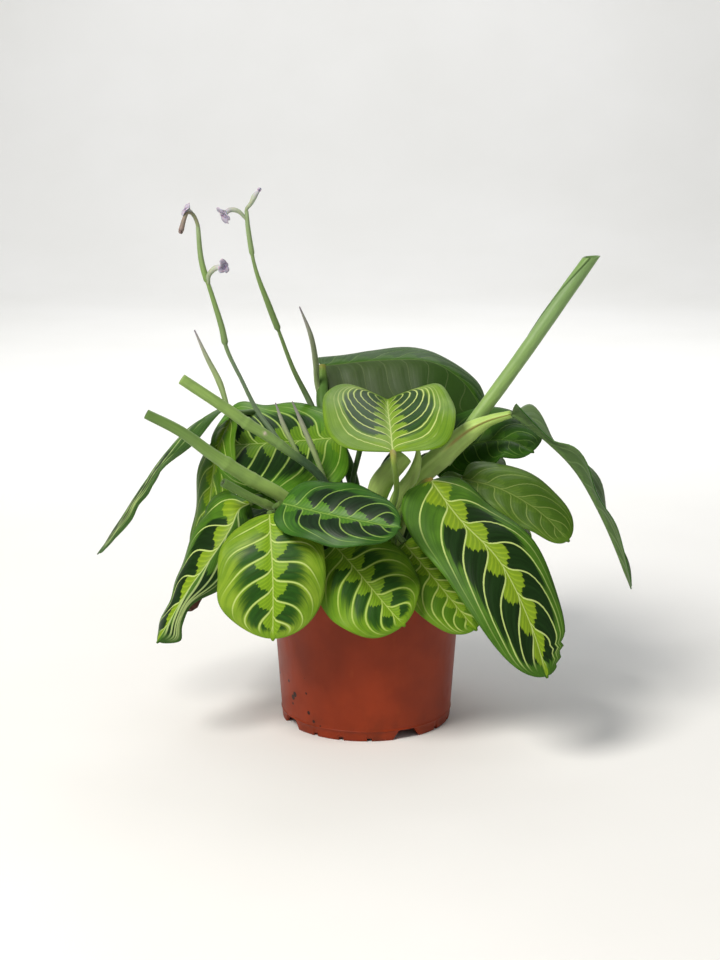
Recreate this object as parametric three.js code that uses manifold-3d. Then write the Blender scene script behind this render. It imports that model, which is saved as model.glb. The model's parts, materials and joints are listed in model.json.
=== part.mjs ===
// A prayer plant (maranta) standing in a thin plastic nursery pot.
// Millimetres, +Z up. The origin is the middle of the pot's foot, on the surface it stands on.
// The front of the plant, the side with the two patterned leaves over the rim, looks along -Y.

import * as THREE from 'three';
import { mergeVertices } from 'three/addons/utils/BufferGeometryUtils.js';
import Module from 'manifold-3d';

const manifold = await Module();
manifold.setup();

// ---- Driving dimensions -------------------------------------------------------------------

const GAP = 0.3; // clearance left between two pieces that touch

// Pot: a moulded pot of the 12 to 13 cm size.
const POT_HEIGHT = 105;
const POT_FOOT_RADIUS = 54.2;
const POT_NECK_RADIUS = 60.8; // outside, just under the rim band
const RIM_HEIGHT = 10;
const RIM_STEP = 2; // how far the rim band stands out from the wall
const WALL = 1.6;
const FLOOR_HEIGHT = 8; // underside of the floor above the surface
const FLOOR_THICKNESS = 1.6;
const FOOT_RING = 2.4; // width of the ring that the pot stands on
const FOOT_LINE_HEIGHT = 6.5; // height of the fine raised line around the foot
const FOOT_LINE_PROUD = 0.4;
const POT_SEGMENTS = 48;
const SOIL_SEGMENTS = 32;

// Openings in the foot ring: four wide notches, three small slits between each two of them.
const NOTCH_COUNT = 4;
const NOTCH_FIRST_ANGLE = 298; // degrees from +X, seen from above
const NOTCH_BOTTOM_WIDTH = 19;
const NOTCH_TOP_WIDTH = 11;
const NOTCH_HEIGHT = 6;
const SLIT_ANGLES = [-19, 0, 19]; // degrees from the middle between two notches
const SLIT_WIDTH = 3;
const SLIT_HEIGHT = 1.8;

const DRAIN_COUNT = 8;
const DRAIN_RADIUS = 3.5;
const DRAIN_CIRCLE = 36;
const DRAIN_SIDES = 10;
const EDGE = 0.6; // small slope on the upper edge of the rim
const STEP_SLOPE = 0.5; // height of the sloping step under the rim band and of the raised line

// Soil: the peat plug, flat on top, where the stalks stand.
const SOIL_TOP = 95;
const FOOT = SOIL_TOP + GAP; // height at which everything that grows from the soil begins

// Leaves.
const BLADE_THICKNESS = 1; // solid enough to make; the real blade is about 0.4 mm
const BLADE_STEPS = 10; // along the midrib
const BLADE_HALF_STEPS = 3; // from the midrib to each margin
const BLADE_END_HALF_WIDTH = 1.4; // half width of the blunt ends at stalk and tip
const BLADE_FULLNESS = 2.3; // 2 is an ellipse, more is squarer along the sides
const BLADE_ROUNDNESS = 0.55; // 0.5 is an ellipse, more has more pointed ends
const STALK_RADIUS = 1.9;
const STALK_SIDES = 6;
const STALK_STEPS = 8;

// ---- Helpers ------------------------------------------------------------------------------

const vector = (point) => new THREE.Vector3(...point);
const radians = (degrees) => THREE.MathUtils.degToRad(degrees);
const curveThrough = (points) => new THREE.CatmullRomCurve3(points.map(vector));

function solidOf(geometry) {
  const bare = geometry.clone();
  bare.deleteAttribute('normal');
  bare.deleteAttribute('uv');
  const merged = mergeVertices(bare, 1e-4);
  const mesh = new manifold.Mesh({
    numProp: 3,
    vertProperties: new Float32Array(merged.attributes.position.array),
    triVerts: new Uint32Array(merged.index.array),
  });
  return new manifold.Manifold(mesh);
}

function geometryOf(solid) {
  const mesh = solid.getMesh();
  return indexedGeometry(mesh.vertProperties, mesh.triVerts);
}

function indexedGeometry(positions, triangles) {
  const geometry = new THREE.BufferGeometry();
  geometry.setAttribute('position', new THREE.BufferAttribute(new Float32Array(positions), 3));
  geometry.setIndex(Array.from(triangles));
  geometry.computeVertexNormals();
  return geometry;
}

const plant = new THREE.Group();

function addPiece(name, geometry, colour, roughness = 0.5) {
  const material = new THREE.MeshStandardMaterial({ color: colour, roughness, metalness: 0 });
  const mesh = new THREE.Mesh(geometry, material);
  mesh.name = name;
  plant.add(mesh);
  return mesh;
}

// A round stalk of one thickness along a curve, closed at both ends.
function stalkGeometry(points, radius, steps = STALK_STEPS, sides = STALK_SIDES) {
  const corners = [];
  for (let i = 0; i < sides; i += 1) {
    const angle = (2 * Math.PI * i) / sides;
    corners.push(new THREE.Vector2(radius * Math.cos(angle), radius * Math.sin(angle)));
  }
  const path = curveThrough(points);
  return new THREE.ExtrudeGeometry(new THREE.Shape(corners), {
    steps,
    bevelEnabled: false,
    extrudePath: path,
  });
}

// A stem whose thickness changes along its way. Each station is a point and the radius there.
function taperGeometry(stations, steps, sides) {
  const path = curveThrough(stations.map((station) => station.slice(0, 3)));
  const frames = path.computeFrenetFrames(steps, false);
  const positions = [];
  const triangles = [];
  for (let i = 0; i <= steps; i += 1) {
    const u = i / steps;
    const centre = path.getPointAt(u);
    const place = path.getUtoTmapping(u) * (stations.length - 1);
    const from = Math.min(Math.floor(place), stations.length - 2);
    const radius = THREE.MathUtils.lerp(stations[from][3], stations[from + 1][3], place - from);
    for (let k = 0; k < sides; k += 1) {
      const angle = (2 * Math.PI * k) / sides;
      const point = centre.clone();
      point.addScaledVector(frames.normals[i], radius * Math.cos(angle));
      point.addScaledVector(frames.binormals[i], radius * Math.sin(angle));
      positions.push(...point.toArray());
    }
  }
  for (let i = 0; i < steps; i += 1) {
    for (let k = 0; k < sides; k += 1) {
      const a = i * sides + k;
      const b = i * sides + ((k + 1) % sides);
      triangles.push(a, b, a + sides, b, b + sides, a + sides);
    }
  }
  const last = steps * sides;
  for (let k = 1; k < sides - 1; k += 1) {
    triangles.push(0, k + 1, k, last, last + k, last + k + 1);
  }
  return indexedGeometry(positions, triangles);
}

// ---- Pot ----------------------------------------------------------------------------------

const neckHeight = POT_HEIGHT - RIM_HEIGHT;
const draft = (POT_NECK_RADIUS - POT_FOOT_RADIUS) / neckHeight;
const wallRadius = (z) => POT_FOOT_RADIUS + draft * z; // outside of the wall at a height
const rimRadius = POT_NECK_RADIUS + RIM_STEP;
const innerNeckHeight = neckHeight - 1; // where the inside of the wall widens into the rim
const floorTop = FLOOR_HEIGHT + FLOOR_THICKNESS;

function lathe(profile, segments) {
  const points = profile.map(([radius, height]) => new THREE.Vector2(radius, height));
  const geometry = new THREE.LatheGeometry(points, segments);
  return geometry.rotateX(Math.PI / 2);
}

function shellOfPot() {
  return lathe([
    [0, FLOOR_HEIGHT],
    [POT_FOOT_RADIUS - FOOT_RING, FLOOR_HEIGHT],
    [POT_FOOT_RADIUS - FOOT_RING, 0],
    [POT_FOOT_RADIUS, 0],
    [wallRadius(FOOT_LINE_HEIGHT - STEP_SLOPE), FOOT_LINE_HEIGHT - STEP_SLOPE],
    [wallRadius(FOOT_LINE_HEIGHT) + FOOT_LINE_PROUD, FOOT_LINE_HEIGHT],
    [wallRadius(FOOT_LINE_HEIGHT + STEP_SLOPE), FOOT_LINE_HEIGHT + STEP_SLOPE],
    [POT_NECK_RADIUS, neckHeight],
    [rimRadius, neckHeight + STEP_SLOPE],
    [rimRadius, POT_HEIGHT - EDGE],
    [rimRadius - EDGE, POT_HEIGHT],
    [rimRadius - WALL, POT_HEIGHT],
    [POT_NECK_RADIUS - WALL, innerNeckHeight],
    [wallRadius(floorTop) - WALL, floorTop],
    [0, floorTop],
  ], POT_SEGMENTS);
}

// A wedge that stands across the foot ring at an angle and cuts its way through it.
function footCutter(angle, bottomWidth, topWidth, height) {
  const outline = new THREE.Shape([
    new THREE.Vector2(-bottomWidth / 2, -1),
    new THREE.Vector2(bottomWidth / 2, -1),
    new THREE.Vector2(bottomWidth / 2, 0),
    new THREE.Vector2(topWidth / 2, height),
    new THREE.Vector2(-topWidth / 2, height),
    new THREE.Vector2(-bottomWidth / 2, 0),
  ]);
  const reach = 6 * FOOT_RING;
  const geometry = new THREE.ExtrudeGeometry(outline, { depth: reach, bevelEnabled: false });
  geometry.rotateX(Math.PI / 2);
  geometry.rotateZ(Math.PI / 2);
  geometry.translate(POT_FOOT_RADIUS - reach / 2, 0, 0);
  geometry.rotateZ(radians(angle));
  return geometry;
}

function makePot() {
  let solid = solidOf(shellOfPot());
  const spacing = 360 / NOTCH_COUNT;
  for (let i = 0; i < NOTCH_COUNT; i += 1) {
    const angle = NOTCH_FIRST_ANGLE + i * spacing;
    const notch = footCutter(angle, NOTCH_BOTTOM_WIDTH, NOTCH_TOP_WIDTH, NOTCH_HEIGHT);
    solid = solid.subtract(solidOf(notch));
    for (const offset of SLIT_ANGLES) {
      const middle = angle + spacing / 2 + offset;
      const slit = footCutter(middle, SLIT_WIDTH, SLIT_WIDTH, SLIT_HEIGHT);
      solid = solid.subtract(solidOf(slit));
    }
  }
  const reach = 4 * FLOOR_THICKNESS;
  for (let i = 0; i < DRAIN_COUNT; i += 1) {
    const angle = radians((360 * (i + 0.5)) / DRAIN_COUNT);
    const drain = new THREE.CylinderGeometry(DRAIN_RADIUS, DRAIN_RADIUS, reach, DRAIN_SIDES);
    drain.rotateX(Math.PI / 2);
    drain.translate(DRAIN_CIRCLE * Math.cos(angle), DRAIN_CIRCLE * Math.sin(angle), FLOOR_HEIGHT);
    solid = solid.subtract(solidOf(drain));
  }
  addPiece('pot', geometryOf(solid), '#8a3a24', 0.45);
}

function makeSoil() {
  const bottom = floorTop + GAP;
  const insideRadius = (z) => wallRadius(z) - WALL - GAP;
  const profile = [
    [0, bottom],
    [insideRadius(bottom), bottom],
    [insideRadius(innerNeckHeight), innerNeckHeight],
    [insideRadius(innerNeckHeight), SOIL_TOP],
    [0, SOIL_TOP],
  ];
  addPiece('soil', lathe(profile, SOIL_SEGMENTS), '#2a1d14', 0.95);
}

// ---- Leaf blades --------------------------------------------------------------------------

// Half width of a blade, from 0 to 1, at a place along its midrib: round at the stalk, widest
// at the place called broad, and ending in a short blunt point.
function outline(u, broad) {
  const s = u ** (Math.log(0.5) / Math.log(broad));
  return Math.max(0, 1 - Math.abs(2 * s - 1) ** BLADE_FULLNESS) ** BLADE_ROUNDNESS;
}

// The frame of the midrib at u: where it is, where it runs, the upper side, and to its right.
function ribFrame(leaf, rib, u) {
  const along = rib.getTangentAt(u);
  const face = vector(leaf.face).lerp(vector(leaf.tipFace), u);
  const right = along.clone().cross(face).normalize();
  const up = right.clone().cross(along).normalize();
  return { origin: rib.getPointAt(u), along, right, up };
}

// A point of the blade. v runs from -1, the left margin, over 0, the midrib, to 1. The blade
// leaves the midrib at its fold angle and turns down by its curl angle on the way to the margin.
function bladePoint(leaf, frame, u, v, offset) {
  const side = v < 0 ? 0 : 1;
  const t = Math.abs(v);
  const full = leaf.half[side];
  const width = BLADE_END_HALF_WIDTH + (full - BLADE_END_HALF_WIDTH) * outline(u, leaf.broad);
  const fold = radians(leaf.fold[side]);
  const curl = radians(leaf.curl[side]) + 1e-6;
  const slope = fold - curl * t;
  const across = (width * (Math.sin(fold) - Math.sin(slope))) / curl;
  const lift = (width * (Math.cos(slope) - Math.cos(fold))) / curl;
  const ripple = leaf.ripple * Math.sin(leaf.waves * 2 * Math.PI * u + 2 * side) * t * t;
  const spread = (t * width) / full;
  const back = leaf.lobe * full * spread * spread * (1 - u) ** 3;
  const sign = side ? 1 : -1;
  return frame.origin
    .clone()
    .addScaledVector(frame.right, sign * (across - offset * Math.sin(slope)))
    .addScaledVector(frame.up, lift + (ripple * width) / full + offset * Math.cos(slope))
    .addScaledVector(frame.along, -back);
}

function bladeGeometry(leaf) {
  const rib = curveThrough(leaf.rib);
  const columns = 2 * BLADE_HALF_STEPS + 1;
  const upper = [];
  const lower = [];
  for (let i = 0; i <= BLADE_STEPS; i += 1) {
    const u = (1 - Math.cos((Math.PI * i) / BLADE_STEPS)) / 2;
    const frame = ribFrame(leaf, rib, u);
    for (let j = -BLADE_HALF_STEPS; j <= BLADE_HALF_STEPS; j += 1) {
      const v = j / BLADE_HALF_STEPS;
      upper.push(...bladePoint(leaf, frame, u, v, BLADE_THICKNESS / 2).toArray());
      lower.push(...bladePoint(leaf, frame, u, v, -BLADE_THICKNESS / 2).toArray());
    }
  }
  const under = (BLADE_STEPS + 1) * columns; // number of the first point of the underside
  const triangles = [];
  const quad = (a, b, c, d) => triangles.push(a, b, c, a, c, d);
  for (let i = 0; i < BLADE_STEPS; i += 1) {
    for (let j = 0; j < columns - 1; j += 1) {
      const a = i * columns + j;
      const b = a + columns;
      quad(a, a + 1, b + 1, b);
      quad(under + a, under + b, under + b + 1, under + a + 1);
    }
    const left = i * columns;
    const right = left + columns - 1;
    quad(left, left + columns, under + left + columns, under + left);
    quad(right, under + right, under + right + columns, right + columns);
  }
  const tipRow = BLADE_STEPS * columns;
  for (let j = 0; j < columns - 1; j += 1) {
    quad(j, under + j, under + j + 1, j + 1);
    const a = tipRow + j;
    quad(a, a + 1, under + a + 1, under + a);
  }
  return indexedGeometry([...upper, ...lower], triangles);
}

// Where a leaf's stalk meets its blade, it runs on along the midrib.
function stalkEnd(leaf, distance) {
  const rib = curveThrough(leaf.rib);
  return rib.getPointAt(0).addScaledVector(rib.getTangentAt(0), -distance).toArray();
}

function beyondTip(leaf, distance) {
  const rib = curveThrough(leaf.rib);
  return rib.getPointAt(1).addScaledVector(rib.getTangentAt(1), distance).toArray();
}

const leafDefaults = {
  broad: 0.46, // where along the midrib the blade is widest
  fold: [6, 6], // degrees by which the left and right half rise from the midrib
  curl: [25, 25], // degrees by which each half turns down towards its margin
  ripple: 1.5, // height of the wavy margin
  waves: 2.5, // how many waves there are along the blade
  lobe: 0.5, // how far the round base reaches back beside the stalk
  bend: [], // points that the stalk passes on its way up
  rise: 12, // height over which the stalk leaves the soil straight up
};

// Each leaf: its midrib from stalk to tip, the half widths left and right of it, the way its
// upper side faces at the stalk and at the tip, and where its stalk stands on the soil.
const leaves = [
  {
    name: 'front_right',
    rib: [[40, -28, 161], [56, -50, 143], [80, -76, 122], [98, -98, 87], [106, -106, 61]],
    half: [28, 34],
    face: [0.15, -0.65, 0.75],
    tipFace: [0.3, -0.85, 0.4],
    broad: 0.48,
    foot: [16, -15],
    bend: [[22, -18, 140]],
  },
  {
    name: 'front_left',
    rib: [[-59, -53, 146], [-58, -64, 139], [-56, -80, 113], [-56, -87, 78]],
    half: [32, 34],
    face: [-0.1, -0.6, 0.8],
    tipFace: [-0.1, -0.95, 0.3],
    broad: 0.5,
    foot: [-17, -17],
    bend: [[-40, -38, 130]],
  },
  {
    name: 'front_dark',
    rib: [[-51, -54, 153], [-29, -68, 151], [-8, -78, 149], [19, -86, 146]],
    half: [26, 22],
    face: [0, -0.64, 0.77],
    tipFace: [0, -0.64, 0.77],
    fold: [12, 12],
    foot: [-10, -14],
    bend: [[-34, -30, 140], [-58, -44, 156]],
  },
  {
    name: 'front_centre',
    rib: [[-20, -50, 126], [-8, -63, 116], [15, -79, 92], [22, -82, 85]],
    half: [31, 31],
    face: [0.1, -0.75, 0.65],
    tipFace: [0.1, -0.9, 0.4],
    broad: 0.5,
    foot: [-3, -21],
  },
  {
    name: 'under_right',
    rib: [[23, -46, 126], [38, -55, 110], [52, -62, 94], [66, -68, 78]],
    half: [20, 22],
    face: [0.2, -0.7, 0.65],
    tipFace: [0.2, -0.9, 0.4],
    foot: [7, -23],
  },
  {
    name: 'right_middle',
    rib: [[60, -9, 158], [83, -19, 154], [107, -30, 142], [124, -39, 126]],
    half: [25, 18],
    fold: [6, -8],
    face: [0.1, -0.6, 0.8],
    tipFace: [0.3, -0.7, 0.6],
    foot: [23, -8],
    bend: [[36, -9, 138]],
  },
  {
    name: 'right_back',
    rib: [[57, 26, 168], [76, 24, 175], [93, 16, 177], [105, 6, 172]],
    half: [20, 20],
    face: [0.1, -0.6, 0.8],
    tipFace: [0.3, -0.7, 0.6],
    foot: [23, 5],
    bend: [[36, 17, 145]],
  },
  {
    name: 'right_hanging',
    rib: [
      [91, -5, 198],
      [111, -14, 184],
      [129, -24, 167],
      [144, -32, 142],
      [155, -38, 118],
      [163, -42, 97],
    ],
    half: [22, 22],
    face: [0.7, 0, 0.7],
    tipFace: [0.95, 0, 0.3],
    fold: [30, 30],
    curl: [10, 10],
    foot: null,
  },
  {
    name: 'top_back',
    rib: [[-29, 78, 215], [13, 78, 219], [44, 75, 218], [65, 71, 205], [78, 65, 186]],
    half: [30, 36],
    face: [0, -0.5, 0.85],
    tipFace: [0.3, -0.5, 0.7],
    fold: [-22, -20],
    curl: [12, 25],
    lobe: 0.8,
    foot: [-2, 14],
    bend: [[-10, 40, 150], [-27, 66, 190]],
  },
  {
    name: 'top_heart',
    rib: [[16, -42, 182], [15, -10, 190], [14, 20, 194], [14, 50, 193]],
    half: [46, 44],
    face: [0, 0, 1],
    tipFace: [0, 0, 1],
    fold: [24, 26],
    curl: [10, 10],
    lobe: 0.8,
    foot: [3, -12],
    bend: [[18, -34, 152]],
  },
  {
    name: 'left_back',
    rib: [[-14, 14, 180], [-42, 10, 173], [-66, 6, 170], [-91, 2, 173]],
    half: [30, 36],
    face: [0, -0.54, 0.84],
    tipFace: [0, -0.54, 0.84],
    foot: [-13, 4],
    bend: [[-9, 12, 150]],
  },
  {
    name: 'left_middle',
    rib: [[-86, 10, 192], [-94, 1, 175], [-98, -7, 150], [-101, -15, 121], [-105, -21, 91]],
    half: [18, 18],
    face: [-0.8, -0.4, 0.4],
    tipFace: [-0.7, -0.7, 0.2],
    foot: [-28, 10],
    bend: [[-46, 38, 150], [-76, 44, 182]],
  },
  {
    name: 'left_narrow',
    rib: [[-91, 12, 200], [-111, -2, 189], [-132, -10, 166], [-151, -16, 138], [-168, -20, 113]],
    half: [20, 20],
    face: [-0.6, 0, 0.8],
    tipFace: [-0.8, 0, 0.6],
    fold: [-8, -8],
    curl: [12, 12],
    foot: [-21, 7],
    bend: [[-41, 38, 156], [-62, 48, 187]],
  },
  {
    name: 'left_folded',
    rib: [
      [-72, -34, 148],
      [-78, -42, 146],
      [-83, -50, 136],
      [-94, -57, 120],
      [-107, -63, 100],
      [-123, -67, 70],
    ],
    half: [22, 29],
    face: [-0.3, -0.8, 0.45],
    tipFace: [-0.85, -0.4, 0.3],
    fold: [-54, 0],
    broad: 0.32,
    foot: [-28, -4],
    bend: [[-50, -20, 134]],
  },
  {
    name: 'back_left_high',
    rib: [[-34, 52, 164], [-54, 73, 168], [-76, 90, 156], [-92, 101, 134]],
    half: [24, 28],
    face: [-0.2, 0.2, 0.95],
    tipFace: [-0.5, 0.5, 0.7],
    foot: [-16, 24],
  },
  {
    name: 'back_right_high',
    rib: [[34, 46, 172], [56, 69, 172], [74, 89, 156], [86, 103, 130]],
    half: [28, 28],
    face: [0.2, 0.2, 0.95],
    tipFace: [0.5, 0.5, 0.7],
    foot: [8, 12],
    bend: [[10, 26, 156]],
  },
  {
    name: 'back_middle',
    rib: [[-14, 50, 134], [-20, 73, 130], [-26, 95, 113], [-30, 108, 84]],
    half: [29, 29],
    face: [-0.1, 0.2, 0.95],
    tipFace: [-0.1, 0.7, 0.6],
    foot: [4, 22],
  },
  {
    name: 'back_low',
    rib: [[24, 50, 128], [36, 72, 120], [46, 90, 98], [52, 100, 66]],
    half: [27, 27],
    face: [0.1, 0.4, 0.9],
    tipFace: [0.3, 0.9, 0.4],
    foot: [12, 22],
  },
  {
    name: 'back_right_low',
    rib: [[50, 22, 136], [76, 40, 134], [94, 52, 116], [104, 60, 92]],
    half: [26, 26],
    face: [0.2, 0.1, 0.95],
    tipFace: [0.6, 0.4, 0.6],
    foot: [20, 13],
  },
  {
    name: 'back_left_low',
    rib: [[-52, 22, 130], [-74, 38, 126], [-92, 50, 106], [-102, 56, 80]],
    half: [26, 26],
    face: [-0.2, 0.1, 0.95],
    tipFace: [-0.6, 0.4, 0.6],
    foot: [-33, 3],
  },
];

function stalkPath(leaf) {
  const [x, y] = leaf.foot;
  return [
    [x, y, FOOT],
    [x, y, FOOT + leaf.rise],
    ...leaf.bend,
    stalkEnd(leaf, 10),
    stalkEnd(leaf, GAP),
  ];
}

function makeLeaf(spec) {
  const leaf = { ...leafDefaults, ...spec };
  addPiece(`leaf_${leaf.name}`, bladeGeometry(leaf), '#4c7a2b', 0.45);
  if (leaf.foot) {
    const stalk = stalkGeometry(stalkPath(leaf), STALK_RADIUS);
    addPiece(`stalk_${leaf.name}`, stalk, '#5d7f45', 0.5);
  }
}

// ---- Shoots, sheaths and spikes -------------------------------------------------------------

const STEM_COLOUR = '#7fa35a';

// A point on the side of a stem, a gap away from its skin. The stem is a list of stations, and
// place counts them: 1.5 is half way between the second and the third.
function besideStem(stations, place, outward) {
  const path = curveThrough(stations.map((station) => station.slice(0, 3)));
  const from = Math.min(Math.floor(place), stations.length - 2);
  const radius = THREE.MathUtils.lerp(stations[from][3], stations[from + 1][3], place - from);
  const at = place / (stations.length - 1);
  const start = path.getPoint(at);
  const direction = vector(outward).projectOnPlane(path.getTangent(at)).normalize();
  start.addScaledVector(direction, radius + GAP);
  return [start.toArray(), start.clone().addScaledVector(direction, 2.5).toArray()];
}

// Side pieces leave their stem at a right angle and then turn into their own way.
function sideStations(stations, place, outward, baseRadius, rest) {
  const [start, next] = besideStem(stations, place, outward);
  return [[...start, baseRadius], [...next, baseRadius], ...rest];
}

// Shoots that were cut back: they stand out to the left and end in a blunt cut.
const cutShootLong = [
  [-16, -5, FOOT, 4],
  [-16, -5, FOOT + 6, 4],
  [-22, -9, 114, 4],
  [-51, -28, 150, 4.4],
  [-72, -34, 164, 4.6],
  [-93, -38, 179, 4.4],
  [-113, -42, 195, 4.2],
  [-133, -44, 206, 4.4],
];
const cutShootHigh = [
  [-7, -4, FOOT, 3],
  [-7, -4, FOOT + 6, 3],
  [-12, -11, 124, 2.8],
  [-29, -24, 163, 2.6],
  [-48, -29, 180, 2.8],
  [-61, -31, 190, 3.2],
  [-73, -33, 198, 3.6],
  [-82, -34, 205, 4.2],
  [-112, -36, 226, 4.4],
];
const cutShootSmall = [
  [-24, -14, FOOT, 2.6],
  [-24, -14, FOOT + 6, 2.6],
  [-33, -22, 120, 2.6],
  [-56, -34, 144, 2.6],
  [-71, -42, 154, 2.6],
  [-87, -50, 165, 2.7],
];

// The sheath on the right runs out into the stalk of the hanging leaf. A young leaf, still
// rolled up, comes out of it.
const rightSheath = [
  [15, 2, FOOT, 4.2],
  [15, 2, FOOT + 6, 4.4],
  [19, 1, 122, 5.2],
  [33, 0, 156, 6.6],
  [47, 3, 169, 7],
  [65, 4, 185, 6],
  [77, 0, 193, 3.4],
];
const rolledLeafRest = [
  [76, 13, 201, 4.6],
  [85, 15, 213, 5.3],
  [103, 20, 236, 5.6],
  [122, 24, 266, 5.4],
  [142, 27, 293, 3.6],
];

const middleSheath = [
  [4, 3, FOOT, 4],
  [4, 3, FOOT + 6, 4.2],
  [4, 1, 126, 4.6],
  [8, -4, 153, 5.2],
  [23, -12, 173, 5.2],
];
const youngTip = [
  [10, -6, FOOT, 2.8],
  [10, -6, FOOT + 6, 2.8],
  [12, -8, 124, 3],
  [21, -12, 149, 3.4],
  [30, -13, 160, 3.2],
  [32, -14, 171, 2],
  [30, -14, 177, 0.5],
];

function makeShoots() {
  addPiece('cut_shoot_long', taperGeometry(cutShootLong, 14, 8), STEM_COLOUR);
  addPiece('cut_shoot_high', taperGeometry(cutShootHigh, 14, 8), STEM_COLOUR);
  addPiece('cut_shoot_small', taperGeometry(cutShootSmall, 8, 8), STEM_COLOUR);
  const hanging = leaves.find((leaf) => leaf.name === 'right_hanging');
  const sheath = [...rightSheath, [...stalkEnd(hanging, 2 * GAP), 2.2]];
  addPiece('sheath_right', taperGeometry(sheath, 16, 10), '#8bb56a');
  const rolled = sideStations(sheath, 4.9, [-0.2, 0.6, 0.78], 2.6, rolledLeafRest);
  addPiece('rolled_leaf', taperGeometry(rolled, 14, 10), '#8db06a');
  addPiece('sheath_middle', taperGeometry(middleSheath, 9, 8), '#86a868');
  addPiece('young_leaf_tip', taperGeometry(youngTip, 10, 7), '#86a868');
}

// ---- Flower stalks, flowers and spikes -------------------------------------------------------

const flowerStalkLeft = sideStations(cutShootHigh, 4.3, [0, 0.4, 0.9], 1.4, [
  [-57, -25, 190, 1.8],
  [-68, -18, 204, 2],
  [-77, -16, 222, 1.8],
  [-86, -14, 241, 2.2],
  [-89, -12, 254, 1.4],
  [-95, -10, 274, 2.2],
  [-101, -8, 294, 1.6],
  [-103, -6, 315, 1.4],
]);
const flowerStalkTall = [
  [-9, 18, FOOT, 2],
  [-9, 18, FOOT + 6, 2],
  [-11, 22, 120, 2],
  [-24, 42, 168, 2],
  [-37, 46, 197, 2],
  [-47, 40, 219, 1.9],
  [-56, 34, 245, 1.4],
  [-62, 30, 262, 2.2],
  [-70, 26, 286, 1.4],
  [-74, 24, 310, 1.8],
  [-75, 24, 322, 1.2],
];

function onTop(stations, baseRadius, rest) {
  const [x, y, z] = stations[stations.length - 1];
  const [x0, y0, z0] = stations[stations.length - 2];
  const up = new THREE.Vector3(x - x0, y - y0, z - z0).normalize();
  const start = new THREE.Vector3(x, y, z).addScaledVector(up, GAP);
  const next = start.clone().addScaledVector(up, 1.5);
  return [[...start.toArray(), baseRadius], [...next.toArray(), baseRadius], ...rest];
}

function makeFlowers() {
  addPiece('flower_stalk_left', taperGeometry(flowerStalkLeft, 16, 6), '#6f9160');
  addPiece('flower_stalk_tall', taperGeometry(flowerStalkTall, 18, 6), '#6f9160');
  const white = '#cfc9d6';
  const drooping = onTop(flowerStalkLeft, 1.2, [
    [-106, -7, 323, 1.4],
    [-110, -8, 324, 2],
    [-112, -9, 319, 2.8],
    [-113, -10, 311, 1],
  ]);
  addPiece('flower_drooping', taperGeometry(drooping, 8, 7), white);
  const side = sideStations(flowerStalkLeft, 7.5, [0.8, -0.3, 0.5], 1.1, [
    [-88, -11, 293, 2.6],
    [-83, -12, 292, 1.4],
  ]);
  addPiece('flower_side', taperGeometry(side, 7, 7), white);
  const bud = onTop(flowerStalkTall, 1.1, [
    [-71, 24, 329, 1.9],
    [-66, 24, 336, 0.6],
  ]);
  addPiece('flower_bud', taperGeometry(bud, 6, 6), '#9aa888');
  const top = sideStations(flowerStalkTall, 9.6, [-0.9, 0, 0.3], 0.9, [
    [-81, 23, 322, 1.6],
    [-86, 22, 323, 3],
    [-90, 21, 319, 1.2],
  ]);
  addPiece('flower_top', taperGeometry(top, 8, 7), white);
}

function makeSpikes() {
  const colour = '#7a8a68';
  const spike = (name, stations, steps = 8) => {
    addPiece(name, taperGeometry(stations, steps, 6), colour);
  };
  spike('spike_left', sideStations(cutShootHigh, 7.3, [0.1, 0.2, 0.9], 1.3, [
    [-90, -25, 222, 2],
    [-98, -23, 238, 1.4],
    [-105, -22, 254, 0.4],
  ]));
  const topBack = leaves.find((leaf) => leaf.name === 'top_back');
  const topStalkPath = stalkPath({ ...leafDefaults, ...topBack });
  const topStalk = topStalkPath.map((point) => [...point, STALK_RADIUS]);
  spike('spike_right', sideStations(topStalk, 2.9, [-0.8, -0.5, 0.1], 1.2, [
    [-31, 56, 203, 1.8],
    [-32, 54, 220, 2],
    [-36, 50, 240, 1.6],
    [-43, 46, 259, 0.4],
  ]), 10);
  spike('spike_inner_left', sideStations(cutShootHigh, 3.9, [0.5, 0.2, 0.8], 1.2, [
    [-51, -24, 195, 1.5],
    [-56, -23, 209, 0.4],
  ]));
  spike('spike_inner_right', sideStations(cutShootHigh, 2.9, [0.6, 0.5, 0.6], 1.2, [
    [-34, -16, 180, 1.8],
    [-40, -14, 194, 1.5],
    [-46, -13, 208, 0.4],
  ]));
}

// The tip of the leaf behind the folded one has withered and hangs from it, brown and crumpled.
function makeWitheredTip() {
  const leaf = leaves.find((entry) => entry.name === 'left_middle');
  const [x, y, z] = beyondTip(leaf, 4);
  const stations = [
    [...beyondTip(leaf, GAP), 1.5],
    [x, y, z, 3],
    [x - 4, y - 1, z - 6, 4.5],
    [x - 9, y - 2, z - 11, 1.5],
  ];
  addPiece('withered_tip', taperGeometry(stations, 6, 7), '#4a2a1e', 0.8);
}

// ---- The whole plant ----------------------------------------------------------------------

makePot();
makeSoil();
leaves.forEach((spec) => makeLeaf(spec));
makeShoots();
makeFlowers();
makeSpikes();
makeWitheredTip();

export default plant;
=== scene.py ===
# %% [markdown]
# # A prayer plant in its nursery pot
#
# This lesson dresses a prayer plant (maranta) that stands in a thin plastic pot. The solid model
# gives the place of every blade, stalk and shoot. Here each of them is made again the way it
# grows: thin quilted blades with a herringbone pattern, round downy stalks, papery sheaths.
# We start by loading the solid model, which stays as it is.

# %% Load the solid model
import json
import math
from functools import partial

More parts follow.
